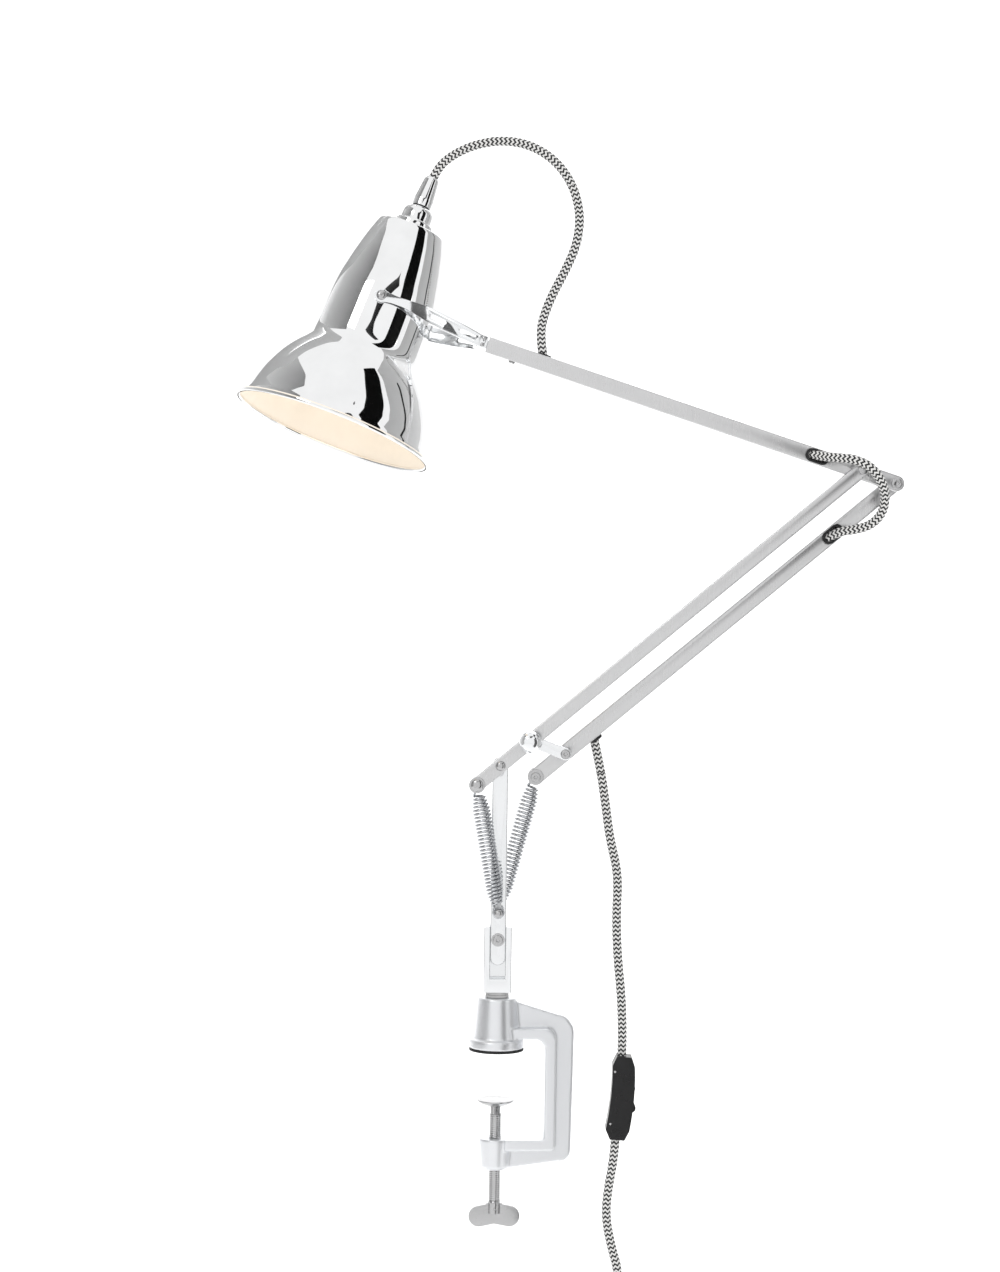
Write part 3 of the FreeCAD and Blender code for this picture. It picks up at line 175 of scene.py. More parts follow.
# ---- node helpers ----
class Nodes:
    """A short hand for one material's node tree."""

    def __init__(self, name: str) -> None:
        """Start a material with a Principled shader."""
        self.material = bpy.data.materials.new(name)
        self.material.use_nodes = True
        self.tree = self.material.node_tree
        self.shader = self.tree.nodes["Principled BSDF"]

    def add(self, kind: str, **values: object) -> bpy.types.Node:
        """Add a node.

        Args:
            kind: the node's type name.
            values: node properties by name.

        Returns:
            The new node.
        """
        node = self.tree.nodes.new(kind)
        for key, value in values.items():
            setattr(node, key, value)
        return node

    def link(self, source: Socket, target: Socket) -> None:
        """Join an output to an input."""
        self.tree.links.new(source, target)

    def set(self, **values: object) -> None:
        """Set constant values on the shader's own sockets; an underscore stands for a space."""
        for key, value in values.items():
            self.shader.inputs[key.replace("_", " ")].default_value = value

    def math(self, operation: str, first: object, second: object = 0.0) -> Socket:
        """One Math node.

        Args:
            operation: the node's operation.
            first: a socket or a number.
            second: a socket or a number.

        Returns:
            The result socket.
        """
        node = self.tree.nodes.new("ShaderNodeMath")
        node.operation = operation
        for slot, value in enumerate((first, second)):
            if isinstance(value, Socket):
                self.link(value, node.inputs[slot])
            else:
                node.inputs[slot].default_value = value
        return node.outputs[0]

    def object_space(self, turn: Sequence[float] = (0, 0, 0),
                     scale: Sequence[float] = (1, 1, 1)) -> Socket:
        """Object coordinates, turned and scaled.

        Args:
            turn: rotation in degrees.
            scale: the Mapping node's scale.

        Returns:
            The vector socket.
        """
        where = self.add("ShaderNodeTexCoord")
        mapping = self.add("ShaderNodeMapping")
        mapping.inputs["Rotation"].default_value = [math.radians(a) for a in turn]
        mapping.inputs["Scale"].default_value = scale
        self.link(where.outputs["Object"], mapping.inputs["Vector"])
        return mapping.outputs["Vector"]

    def noise(self, vector: Socket, scale: float, detail: float) -> Socket:
        """A noise value over a vector."""
        node = self.add("ShaderNodeTexNoise")
        node.inputs["Scale"].default_value = scale
        node.inputs["Detail"].default_value = detail
        self.link(vector, node.inputs["Vector"])
        return node.outputs["Fac"]

    def between(self, value: Socket, low: float, high: float,
                start: float = 0.3, end: float = 0.7) -> Socket:
        """A value from start to end, mapped to low to high."""
        node = self.add("ShaderNodeMapRange")
        self.link(value, node.inputs["Value"])
        node.inputs["From Min"].default_value = start
        node.inputs["From Max"].default_value = end
        node.inputs["To Min"].default_value = low
        node.inputs["To Max"].default_value = high
        return node.outputs["Result"]

    def tint(self, value: Socket, dark: Sequence[float],
             light: Sequence[float]) -> Socket:
        """A colour between dark and light."""
        node = self.add("ShaderNodeMix", data_type="RGBA")
        self.link(value, node.inputs["Factor"])
        node.inputs["A"].default_value = (*dark, 1)
        node.inputs["B"].default_value = (*light, 1)
        return node.outputs["Result"]

    def rough(self, value: Socket, low: float, high: float) -> None:
        """Let a value drive the roughness from low to high."""
        self.link(self.between(value, low, high), self.shader.inputs["Roughness"])

    def mottle(self, value: Socket, dark: Sequence[float], light: Sequence[float]) -> None:
        """Let a value drive the base colour from dark to light."""
        self.link(self.tint(self.between(value, 0, 1), dark, light), self.shader.inputs["Base Color"])

    def bump(self, height: Socket, distance: float) -> None:
        """Bump the surface by a height, a distance in metres high."""
        node = self.add("ShaderNodeBump")
        node.inputs["Strength"].default_value = 1.0
        node.inputs["Distance"].default_value = distance
        self.link(height, node.inputs["Height"])
        self.link(node.outputs["Normal"], self.shader.inputs["Normal"])


# ---- finishes ----
@dataclass(frozen=True)
class Surface:
    """What every finish has: a name, and nodes that its own class lays."""

    name: str

    def build(self) -> bpy.types.Material:
        """Make the material.

        Returns:
            The material.
        """
        nodes = Nodes(self.name)
        self.paint(nodes)
        return nodes.material


@dataclass(frozen=True)
class Metal(Surface):
    """A bare or plated metal with a grain that may run one way."""

    colour: Triple
    rough_low: float
    rough_high: float
    grain: Triple = (400.0, 400.0, 400.0)
    turn: Triple = (0.0, 0.0, 0.0)
    relief: float = 0.000002
    patches: float = 60.0

    def paint(self, nodes: Nodes) -> None:
        """Lay the finish on a material's nodes."""
        nodes.set(Metallic=1.0)
        along = nodes.object_space(self.turn, self.grain)
        fine = nodes.noise(along, 1.0, 2.0)
        broad = nodes.noise(nodes.object_space(), self.patches, 2.0)
        mixed = nodes.math("MULTIPLY_ADD", fine, 0.6)
        nodes.link(nodes.math("MULTIPLY", broad, 0.4), mixed.node.inputs[2])
        nodes.rough(mixed, self.rough_low, self.rough_high)
        nodes.mottle(broad, [c * 0.955 for c in self.colour], self.colour)
        nodes.bump(fine, self.relief)


@dataclass(frozen=True)
class Casting(Surface):
    """Cast aluminium: fine pimples, soft dents and slight mottling."""

    colour: Triple

    def paint(self, nodes: Nodes) -> None:
        """Lay the finish on a material's nodes."""
        nodes.set(Metallic=1.0)
        space = nodes.object_space()
        fine = nodes.noise(space, 1500.0, 3.0)
        dents = nodes.noise(space, 260.0, 2.0)
        mottle = nodes.noise(space, 90.0, 4.0)
        height = nodes.math("MULTIPLY_ADD", fine, 0.35)
        nodes.link(dents, height.node.inputs[2])
        nodes.rough(mottle, 0.30, 0.50)
        nodes.mottle(mottle, [c * 0.86 for c in self.colour], self.colour)
        nodes.bump(height, 0.00022)


@dataclass(frozen=True)
class Moulding(Surface):
    """Moulded plastic or rubber."""

    colour: Triple
    rough: float
    relief: float = 0.00001
    coat: float = 0.0

    def paint(self, nodes: Nodes) -> None:
        """Lay the finish on a material's nodes."""
        nodes.set(Specular_IOR_Level=0.28, Coat_Weight=self.coat, Coat_Roughness=0.08)
        space = nodes.object_space()
        spark = nodes.noise(space, 1800.0, 2.0)
        haze = nodes.noise(space, 120.0, 3.0)
        nodes.rough(haze, self.rough * 0.82, self.rough * 1.18)
        nodes.mottle(haze, self.colour, [min(1.0, c * 1.25 + 0.002) for c in self.colour])
        nodes.bump(spark, self.relief)


@dataclass(frozen=True)
class Enamel(Surface):
    """The shade's white lining, with a warm tint and a glow that are painted light from the bulb."""

    colour: Triple
    painted_bulb_glow: Triple
    strength: float

    def paint(self, nodes: Nodes) -> None:
        """Lay the finish on a material's nodes."""
        # The emission is painted light: the lining glows as if the bulb lit it.
        nodes.set(Coat_Weight=0.35, Coat_Roughness=0.12, Emission_Color=(*self.painted_bulb_glow, 1),
                  Emission_Strength=self.strength)
        haze = nodes.noise(nodes.object_space(), 140.0, 3.0)
        nodes.rough(haze, 0.34, 0.46)
        nodes.mottle(haze, [c * 0.97 for c in self.colour], self.colour)
        nodes.bump(nodes.noise(nodes.object_space(), 900.0, 2.0), 0.00001)


@dataclass(frozen=True)
class Braid(Surface):
    """A herringbone braid over a round cord, from its UV: U around, V metres along."""

    dark: Triple = (0.012, 0.012, 0.014)
    light: Triple = (0.84, 0.835, 0.82)
    period: float = 3.3 * MM
    points: float = 6.0
    reach: float = 0.52

    def paint(self, nodes: Nodes) -> None:
        """Lay the finish on a material's nodes."""
        uv = nodes.add("ShaderNodeUVMap", uv_map="UVMap")
        split = nodes.add("ShaderNodeSeparateXYZ")
        nodes.link(uv.outputs["UV"], split.inputs["Vector"])
        around, along = split.outputs["X"], split.outputs["Y"]
        zigzag = nodes.math("PINGPONG", nodes.math("MULTIPLY", around, self.points * 2), 1.0)
        shift = nodes.math("MULTIPLY", zigzag, self.reach)
        phase = nodes.math("FRACT", nodes.math("ADD", nodes.math("DIVIDE", along, self.period), shift))
        wave = nodes.math("ABSOLUTE", nodes.math("SUBTRACT", phase, 0.5))
        white = nodes.between(wave, 0, 1, 0.235, 0.275)
        fray = nodes.noise(nodes.object_space(), 2600.0, 2.0)
        shade = nodes.between(fray, 0.80, 1.0)
        colour = nodes.add("ShaderNodeMix", data_type="RGBA", blend_type="MULTIPLY")
        colour.inputs["Factor"].default_value = 1.0
        nodes.link(nodes.tint(white, self.dark, self.light), colour.inputs["A"])
        nodes.link(shade, colour.inputs["B"])
        nodes.link(colour.outputs["Result"], nodes.shader.inputs["Base Color"])
        nodes.set(Roughness=0.78, Sheen_Weight=0.25, Sheen_Roughness=0.5)
        thread = nodes.math("PINGPONG", nodes.math("MULTIPLY", phase, 4.0), 0.5)
        yarn = nodes.math("MULTIPLY_ADD", thread, 0.7)
        groove = nodes.math("PINGPONG", nodes.math("MULTIPLY", around, self.points * 2), 0.5)
        nodes.link(nodes.math("MULTIPLY", groove, 0.8), yarn.node.inputs[2])
        nodes.bump(yarn, 0.00028)


@dataclass(frozen=True)
class OpalGlass(Surface):
    """The lamp's opal glass, lit from within."""

    colour: Triple
    strength: float

    def paint(self, nodes: Nodes) -> None:
        """Lay the finish on a material's nodes."""
        nodes.set(Roughness=0.18, Emission_Color=(*self.colour, 1), Emission_Strength=self.strength,
                  Coat_Weight=0.4, Coat_Roughness=0.05)
        haze = nodes.noise(nodes.object_space(), 60.0, 2.0)
        nodes.link(nodes.tint(haze, (0.90, 0.86, 0.78), (0.97, 0.95, 0.90)),
                   nodes.shader.inputs["Base Color"])


class Finish(Enum):
    """Every finish on the lamp."""

    CHROME = Metal("mirror_chrome", (0.90, 0.905, 0.91), 0.02, 0.05, relief=0.0000002)
    BARS = Metal("satin_bar_aluminium", (0.66, 0.66, 0.665), 0.24, 0.34, (1500.0, 1500.0, 40.0),
                 (0, LAMP.bar_rise - 90, 0), 0.0000012)
    ARM = Metal("satin_arm_aluminium", (0.66, 0.66, 0.665), 0.24, 0.34, (1500.0, 1500.0, 40.0),
                (0, 90 - LAMP.arm_drop, 0), 0.0000012)
    POLISHED = Metal("polished_aluminium", (0.70, 0.705, 0.71), 0.08, 0.16, (900.0, 900.0, 60.0),
                     relief=0.0000006)
    STEEL = Metal("bright_steel", (0.52, 0.52, 0.525), 0.16, 0.30, (700.0, 700.0, 700.0))
    SPRING = Metal("spring_wire", (0.46, 0.465, 0.475), 0.10, 0.20)
    BRASS = Metal("brass", (0.80, 0.62, 0.30), 0.16, 0.28)
    CAST = Casting("cast_aluminium", (0.125, 0.126, 0.128))
    BLACK = Moulding("black_gloss_plastic", (0.007, 0.007, 0.0075), 0.30, coat=0.05)
    RUBBER = Moulding("black_rubber", (0.016, 0.016, 0.017), 0.55, 0.00003)
    NYLON = Moulding("washer_nylon", (0.42, 0.42, 0.42), 0.4)
    LEAD = Moulding("lead_sheath", (0.55, 0.54, 0.52), 0.5)
    # The lining's warm tint and its glow are painted light from the bulb.
    LINING = Enamel("shade_enamel", (0.82, 0.76, 0.67), (1.0, 0.84, 0.66), 0.16)
    BRAID = Braid("herringbone_braid")
    OPAL = OpalGlass("opal_glass", (1.0, 0.86, 0.68), 0.6)

    @property
    def material(self) -> bpy.types.Material:
        """The material that has the finish's name already, the frame's own among them, or else a new one."""
        found = bpy.data.materials.get(self.value.name)
        return found or self.value.build()


# ---- mesh helpers ----
class Piece:
    """A mesh being made with bmesh operators, and its object once it is done."""

    def __init__(self, name: str) -> None:
        """Start an empty mesh."""
        self.name = name
        self.bm = bmesh.new()

    def lathe(self, profile: Profile, steps: int, frame: Matrix,
              turn: float = 360.0) -> "Piece":
        """Spin a closed profile of (radius, height) about the frame's Z.

        Args:
            profile: the points in metres, in order; the last one joins the first.
            steps: how many steps the turn has.
            frame: where the result goes.
            turn: how far the profile turns, in degrees; less than 360 leaves a gap with flat ends.

        Returns:
            This piece.
        """
        points = [self.bm.verts.new((r, 0, z)) for r, z in profile]
        edges = [self.bm.edges.new(pair) for pair in zip(points, points[1:] + points[:1])]
        whole = turn > 359.9
        spun = bmesh.ops.spin(self.bm, geom=points + edges, cent=(0, 0, 0), axis=(0, 0, 1),
                              angle=math.radians(turn), steps=steps, use_merge=whole)
        if not whole:
            bmesh.ops.contextual_create(self.bm, geom=edges)
            last = [e for e in spun["geom_last"] if isinstance(e, bmesh.types.BMEdge)]
            bmesh.ops.contextual_create(self.bm, geom=last)
        bmesh.ops.remove_doubles(self.bm, verts=self.bm.verts, dist=1e-7)
        bmesh.ops.dissolve_degenerate(self.bm, edges=self.bm.edges, dist=1e-7)
        bmesh.ops.transform(self.bm, matrix=frame, verts=self.bm.verts)
        return self

    def lathe_ring(self, profile: Profile, frame: Matrix, steps: int = 64) -> "Piece":
        """Add a second turned ring to the piece.

        Args:
            profile: the ring's closed profile in metres.
            frame: the frame whose Z it turns about.
            steps: how many steps the turn has.

        Returns:
            This piece.
        """
        points = [self.bm.verts.new(frame @ Vector((r, 0, z))) for r, z in profile]
        edges = [self.bm.edges.new(pair) for pair in zip(points, points[1:] + points[:1])]
        bmesh.ops.spin(self.bm, geom=points + edges, cent=frame.translation, axis=frame.to_3x3() @ UP,
                       angle=2 * math.pi, steps=steps, use_merge=True)
        return self

    def helix(self, radius: float, crest: float, pitch: float, turns: int, frame: Matrix) -> "Piece":
        """Spin one thread's ridge up the frame's Z.

        Args:
            radius: the root's radius.
            crest: how far the crest stands out.
            pitch: the rise of one turn.
            turns: how many turns there are.
            frame: where the thread starts.

        Returns:
            This piece.
        """
        top = radius + crest
        line = [(radius, 0.0), (top, pitch * 0.42), (top, pitch * 0.56), (radius, pitch)]
        verts = [self.bm.verts.new(frame @ Vector((r, 0, z))) for r, z in line]
        edges = [self.bm.edges.new(pair) for pair in zip(verts, verts[1:])]
        axis = frame.to_3x3() @ UP
        steps = 28 * turns
        bmesh.ops.spin(self.bm, geom=verts + edges, cent=frame.translation, axis=axis,
                       dvec=axis * (pitch * turns / steps), angle=2 * math.pi * turns, steps=steps)
        bmesh.ops.remove_doubles(self.bm, verts=self.bm.verts, dist=2e-6)
        return self

    def sweep(self, line: Sequence[Vector], radius: float, sides: int) -> "Piece":
        """Extrude a circle along a line, with U around it and V in metres along it.

        Args:
            line: the centreline's points.
            radius: the tube's radius.
            sides: how many sides the circle has.

        Returns:
            This piece.
        """
        uv = self.bm.loops.layers.uv.new("UVMap")
        way = (line[1] - line[0]).normalized()
        side = way.orthogonal().normalized()
        ring = bmesh.ops.create_circle(self.bm, cap_ends=False, radius=radius, segments=sides)["verts"]
        for index, vert in enumerate(ring):
            turn = Matrix.Rotation(2 * math.pi * index / sides, 3, way)
            vert.co = line[0] + turn @ side * radius
        bottom, run = ring, 0.0
        for before, here, after in zip(line, line[1:], list(line[2:]) + [line[-1]]):
            ahead = (after - here) if (after - here).length > 1e-9 else (here - before)
            new_way = ((here - before).normalized() + ahead.normalized()).normalized()
            turn = way.rotation_difference(new_way).to_matrix()
            side = turn @ side
            new_run = run + (here - before).length
            nxt = [self.bm.verts.new(here + turn @ (v.co - before)) for v in bottom]
            for index in range(sides):
                other = (index + 1) % sides
                face = self.bm.faces.new((bottom[index], bottom[other], nxt[other], nxt[index]))
                values = ((index, run), (index + 1, run), (index + 1, new_run), (index, new_run))
                for loop, (u, v) in zip(face.loops, values):
                    loop[uv].uv = (u / sides, v)
            bottom, run, way = nxt, new_run, new_way
        for ring_verts in (ring, bottom):
            bmesh.ops.contextual_create(self.bm, geom=ring_verts)
        return self

    def finish(self, finish: Finish, sharp: float) -> bpy.types.Object:
        """Turn the mesh into an object with a finish.

        Args:
            finish: the first material.
            sharp: edges that turn by more degrees than this stay sharp.

        Returns:
            The object.
        """
        bmesh.ops.recalc_face_normals(self.bm, faces=self.bm.faces)
        mesh = bpy.data.meshes.new(self.name)
        self.bm.to_mesh(mesh)
        self.bm.free()
        mesh.polygons.foreach_set("use_smooth", [True] * len(mesh.polygons))
        mesh.set_sharp_from_angle(angle=math.radians(sharp))
        made = bpy.data.objects.new(self.name, mesh)
        bpy.context.scene.collection.objects.link(made)
        made.data.materials.append(finish.material)
        LOG.info("piece %s: %d faces", self.name, len(mesh.polygons))
        return made


class Carried(Piece):
    """A frame node's own shape, merged, so that its edges can be rounded."""

    def __init__(self, node: str) -> None:
        """Copy the node's triangles and merge them into faces."""
        super().__init__(node + "_fine")
        self.node = node
        self.bm.from_mesh(FRAME["nodes"][node].data)
        bmesh.ops.remove_doubles(self.bm, verts=self.bm.verts, dist=2e-6)
        bmesh.ops.dissolve_limit(self.bm, angle_limit=math.radians(0.6), verts=self.bm.verts,
                                 edges=self.bm.edges)

    def soften(self, width: float, segments: int, angle: float = 32.0) -> "Carried":
        """Round the edges.

        Args:
            width: the bevel's width in millimetres.
            segments: how many faces the rounding has.
            angle: edges that turn by less stay as they are.

        Returns:
            This piece.
        """
        edges = [e for e in self.bm.edges
                 if len(e.link_faces) == 2 and e.calc_face_angle(0.0) > math.radians(angle)]
        bmesh.ops.bevel(self.bm, geom=edges, offset=width * MM, offset_type="OFFSET", segments=segments,
                        profile=0.5, affect="EDGES", clamp_overlap=True, material=-1)
        return self

    def place(self, finish: Finish, sharp: float = 38.0) -> bpy.types.Object:
        """Finish the copy and put it in its node's stead."""
        return stand_in(self.finish(finish, sharp), self.node)


def stand_in(piece: bpy.types.Object, node: str) -> bpy.types.Object:
    """Put a piece in a frame node's stead, on its body.

    Args:
        piece: the finished piece.
        node: the node that it replaces.

    Returns:
        The piece.
    """
    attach(piece, FRAME["nodes"][node]["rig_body"])
    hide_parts(node)
    return piece


def rounded(profile: Profile, reach: float,
            steps: int = 4) -> list[tuple[float, float]]:
    """A closed profile with its corners rounded, in metres.

    Args:
        profile: the corners as (radius, height) in millimetres.
        reach: how far a rounding goes along each side, in millimetres.
        steps: how many faces a rounding has.

    Returns:
        The points in metres.
    """
    corners = [Vector(point) for point in profile]
    line = []
    for index, corner in enumerate(corners):
        before, after = corners[index - 1], corners[(index + 1) % len(corners)]
        if corner.x < 1e-6:
            line.append(corner)
            continue
        into, out = before - corner, after - corner
        start = corner + into.normalized() * min(reach, into.length * 0.45)
        end = corner + out.normalized() * min(reach, out.length * 0.45)
        for step in range(steps + 1):
            share = step / steps
            line.append(start * (1 - share) ** 2 + corner * 2 * share * (1 - share) + end * share ** 2)
    return [(point.x * MM, point.y * MM) for point in line]


def staged(name: str, shape: bmesh.types.BMesh, nodes: Nodes) -> bpy.types.Object:
    """Put a studio piece in the scene.

    Args:
        name: its name.
        shape: its mesh, which is freed.
        nodes: its material.

    Returns:
        The object, smooth.
    """
    mesh = bpy.data.meshes.new(name)
    shape.to_mesh(mesh)
    shape.free()
    mesh.polygons.foreach_set("use_smooth", [True] * len(mesh.polygons))
    mesh.materials.append(nodes.material)
    made = bpy.data.objects.new(name, mesh)
    bpy.context.scene.collection.objects.link(made)
    return made


def facing(place: Vector, way: Vector) -> Matrix:
    """A frame at a place whose Z points a way."""
    return Matrix.Translation(place) @ UP.rotation_difference(way).to_matrix().to_4x4()


def smooth_line(points: Sequence[Vector], resolution: int = 12) -> list[Vector]:
    """The line of a route's NURBS spline.

    Args:
        points: the route's control points.
        resolution: how many points the line has per control point.

    Returns:
        Points along the spline.
    """
    curve = bpy.data.curves.new("route", "CURVE")
    curve.dimensions = "3D"
    spline = curve.splines.new("NURBS")
    spline.points.add(len(points) - 1)
    for slot, point in zip(spline.points, points):
        slot.co = (*point, 1)
    spline.order_u = 3
    spline.use_endpoint_u = True
    curve.resolution_u = resolution
    holder = bpy.data.objects.new("route", curve)
    mesh = bpy.data.meshes.new_from_object(holder)
    line = [v.co.copy() for v in mesh.vertices]
    bpy.data.objects.remove(holder)
    bpy.data.curves.remove(curve)
    bpy.data.meshes.remove(mesh)
    return line


def millimetres(points: Iterable[Sequence[float]]) -> list[Vector]:
    """Points given in millimetres, as vectors in metres."""
    return [Vector(point) * MM for point in points]


# ---- cords ----
@dataclass
class Cords:
    """The braided cord: over the shade, round the elbow, and down to its coil."""

    radius: float = 3.4 * MM
    coil_radius: float = 40 * MM
    coil_centre: Triple = (0.0974, 0.024, -0.240)
    root: float = 0.026
    rear_bar_y: float = 0.01265
    grip_stations: tuple[float, float] = (0.193, 0.2095)
    lead_in_station: float = 0.2724
    elbow_stations: tuple[float, float] = (0.070, 0.069)
    outlet_station: float = 0.287

    def head_loop(self) -> None:
        """From the grip on the shade over in a loop to the upper arm."""
        frame = LAMP.shade_frame
        points = [frame @ Vector((0, 0, station)) for station in self.grip_stations] + millimetres([
            (-42.5, 20.0, 655.0), (-25.5, 19.0, 663.0), (-5.0, 17.8, 666.5), (15.5, 16.6, 663.0),
            (33.5, 15.0, 652.0), (46.5, 13.3, 634.5), (52.5, 11.8, 613.0), (50.5, 10.0, 591.0),
            (42.0, 8.2, 571.0), (32.0, 6.2, 552.0), (24.8, 3.8, 532.0), (25.0, 1.0, 516.5)])
        points.append(LAMP.arm_end + LAMP.arm_way * self.lead_in_station + LAMP.arm_up * 4 * MM)
        line = smooth_line(points)
        cut = len(line) // 2
        self.held("head_cord_shade_half", line[:cut + 1])
        self.held("head_cord_arm_half", line[cut:])

    def held(self, name: str, line: Sequence[Vector],
             node: str = "") -> None:
        """A stretch of held cord as a tube.

        Args:
            name: its name, which is its node's too unless that is given.
            line: its centreline.
            node: the node it stands in for.
        """
        piece = Piece(name + "_braid").sweep(line, self.radius, 20).finish(Finish.BRAID, 80)
        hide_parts(node or name)
        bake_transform(piece)

    def elbow_loop(self) -> None:
        """Out of the upper arm, round the elbow and into the rear bar."""
        upper, lower = self.elbow_stations
        points = [LAMP.arm_end + LAMP.arm_way * upper] + millimetres([
            (228.5, -8.0, 438.2), (240.0, -16.5, 437.0), (252.0, -22.0, 436.0), (263.5, -23.6, 431.0),
            (271.5, -21.0, 421.5), (275.8, -16.6, 409.5), (274.4, -11.6, 397.6), (267.0, -6.8, 388.8),
            (256.0, -2.4, 385.2), (247.0, 2.2, 384.0), (239.0, 7.6, 380.4)])
        points.append(LAMP.arm_end - LAMP.bar_way * lower + Vector((0, self.rear_bar_y, 0)))
        line = smooth_line(points)
        cut = len(line) // 2
        self.held("elbow_cord_upper_half", line[:cut + 1])
        self.held("elbow_cord_lower_half", line[cut:])

    def around(self, angle: float, radius: float, y: float = 0.0) -> Vector:
        """A point of the coil, at an angle and a radius from its centre."""
        return Vector(self.coil_centre) + LAMP.heading(angle, radius) + Vector((0, y, 0))

    def coil_turns(self) -> list[Vector]:
        """The coil's own points: turns that change layer and size a little as they go."""
        turns, per_turn = 5.25, 14
        start = 115.0
        layers = (-3.6, 3.6, 7.0, -7.0, 0.4, 3.8)
        sizes = (3.3, -3.2, 3.4, 2.9, -3.4, 3.0)
        points = []
        for index in range(int(turns * per_turn) + 1):
            share = index / per_turn
            layer = int(share) % len(layers)
            after = (layer + 1) % len(layers)
            blend = max(0.0, (share % 1.0) - 0.7) / 0.3
            y = layers[layer] * (1 - blend) + layers[after] * blend
            grow = sizes[layer] * (1 - blend) + sizes[after] * blend
            points.append(self.around(start + 360 * share, self.coil_radius + grow * MM, y * MM))
        return points

    def mains(self) -> None:
        """The free cord, from the rear bar through the switch to the coil and the plug."""
        outlet = LAMP.arm_end - LAMP.bar_way * self.outlet_station + Vector((0, self.rear_bar_y, 0))
        down = LAMP.heading(LAMP.bar_rise - 90)
        points = [outlet + down * 3.2 * MM] + millimetres([
            (73.4, 13.0, 208.0), (77.6, 15.4, 182.0), (81.4, 18.6, 155.0), (88.4, 21.6, 128.0),
            (87.4, 23.6, 98.0), (88.6, 24.0, 68.0), (92.8, 24.2, 32.0), (93.6, 24.0, -10.0),
            (90.4, 24.0, -50.0), (88.6, 24.0, -84.0), (84.4, 24.0, -108.0), (83.0, 24.0, -128.0),
            (87.6, 24.0, -150.0), (93.4, 24.0, -169.0), (91.0, 24.0, -183.0)])
        points += self.coil_turns()
        points += millimetres([(67.4, 24.0, -288.0), (70.0, 24.0, -298.0), (70.0, 24.0, -312.0)])
        line = smooth_line(points, 10)
        cut = next(i for i, point in enumerate(line) if (point - line[0]).length > self.root)
        self.held("mains_cord_root", line[:cut + 1],
                  "mains_cord")
        line = line[cut:]
        piece = Piece("mains_cord_braid").sweep(line, self.radius, 18).finish(Finish.BRAID, 80)
        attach(piece, "mains_cord")
        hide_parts("mains_cord", "mains_cord_coil", "mains_cord_tail")

    def build(self) -> None:
        """Make every cord."""
        self.head_loop()
        self.elbow_loop()
        self.mains()


# ---- springs ----
@dataclass
class Spring:
    """One extension spring: closed coils with coned ends and a loop at each end."""

    name: str
    top: Vector
    bottom: Vector
    bodies: tuple[str, ...]
    radius: float = 5.7 * MM
    tip: float = 3.7 * MM
    wire: float = 0.98 * MM
    loop: float = 3.6 * MM
    turns: int = 30
    top_lead: float = 8.0 * MM
    bottom_lead: float = 6.8 * MM
    cone: float = 10 * MM
    steps: int = 22
    split: float = 0.28

    def hook(self, pin: Vector, way: Vector, side: Vector) -> list[Vector]:
        """The open loop round a pin, on the far side from the coils.

        Args:
            pin: the pin's middle.
            way: from the coils to the pin.
            side: across the spring.

        Returns:
            Points along the loop, from -150 to 150 degrees.
        """
        points = []
        for index in range(self.steps):
            angle = math.radians(-150 + 300 * index / (self.steps - 1))
            points.append(pin + way * (self.loop * math.cos(angle)) + side * (self.loop * math.sin(angle)))
        return points

    def line(self) -> list[Vector]:
        """The wire's centreline, from the top loop through the coils to the bottom loop.

        Returns:
            Points along the wire.
        """
        way = (self.bottom - self.top).normalized()
        side = way.cross(FRONT).normalized()
        start = self.top_lead
        end = (self.bottom - self.top).length - self.bottom_lead
        coils = []
        count = self.turns * self.steps
        for index in range(count + 1):
            share = index / count
            along = start + (end - start) * share
            near = min(along - start, end - along)
            radius = self.tip + (self.radius - self.tip) * min(1.0, near / self.cone)
            angle = 2 * math.pi * self.turns * share + math.pi / 2
            out = FRONT * math.cos(angle) + side * math.sin(angle)
            coils.append(self.top + way * along + out * radius)
        return self.hook(self.top, -way, side) + coils + self.hook(self.bottom, way, side)[::-1]

    def stretch(self, name: str, line: Sequence[Vector]) -> None:
        """One stretch of wire."""
        piece = Piece(name).sweep(line, self.wire, 8).finish(Finish.SPRING, 80)
        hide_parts(self.name)
        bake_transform(piece)

    def build(self) -> None:
        """Make the spring, in two stretches where a third body carries its pin."""
        line = self.line()
        if len(self.bodies) == 2:
            self.stretch(self.name + "_wire", line)
            return
        near_pin = self.top.lerp(self.bottom, self.split)
        cut = min(range(len(line)), key=lambda i: (line[i] - near_pin).dot(line[i] - near_pin))
        self.stretch(self.name + "_wire", line[cut:])
        self.stretch(self.name + "_wire_upper", line[:cut + 1])


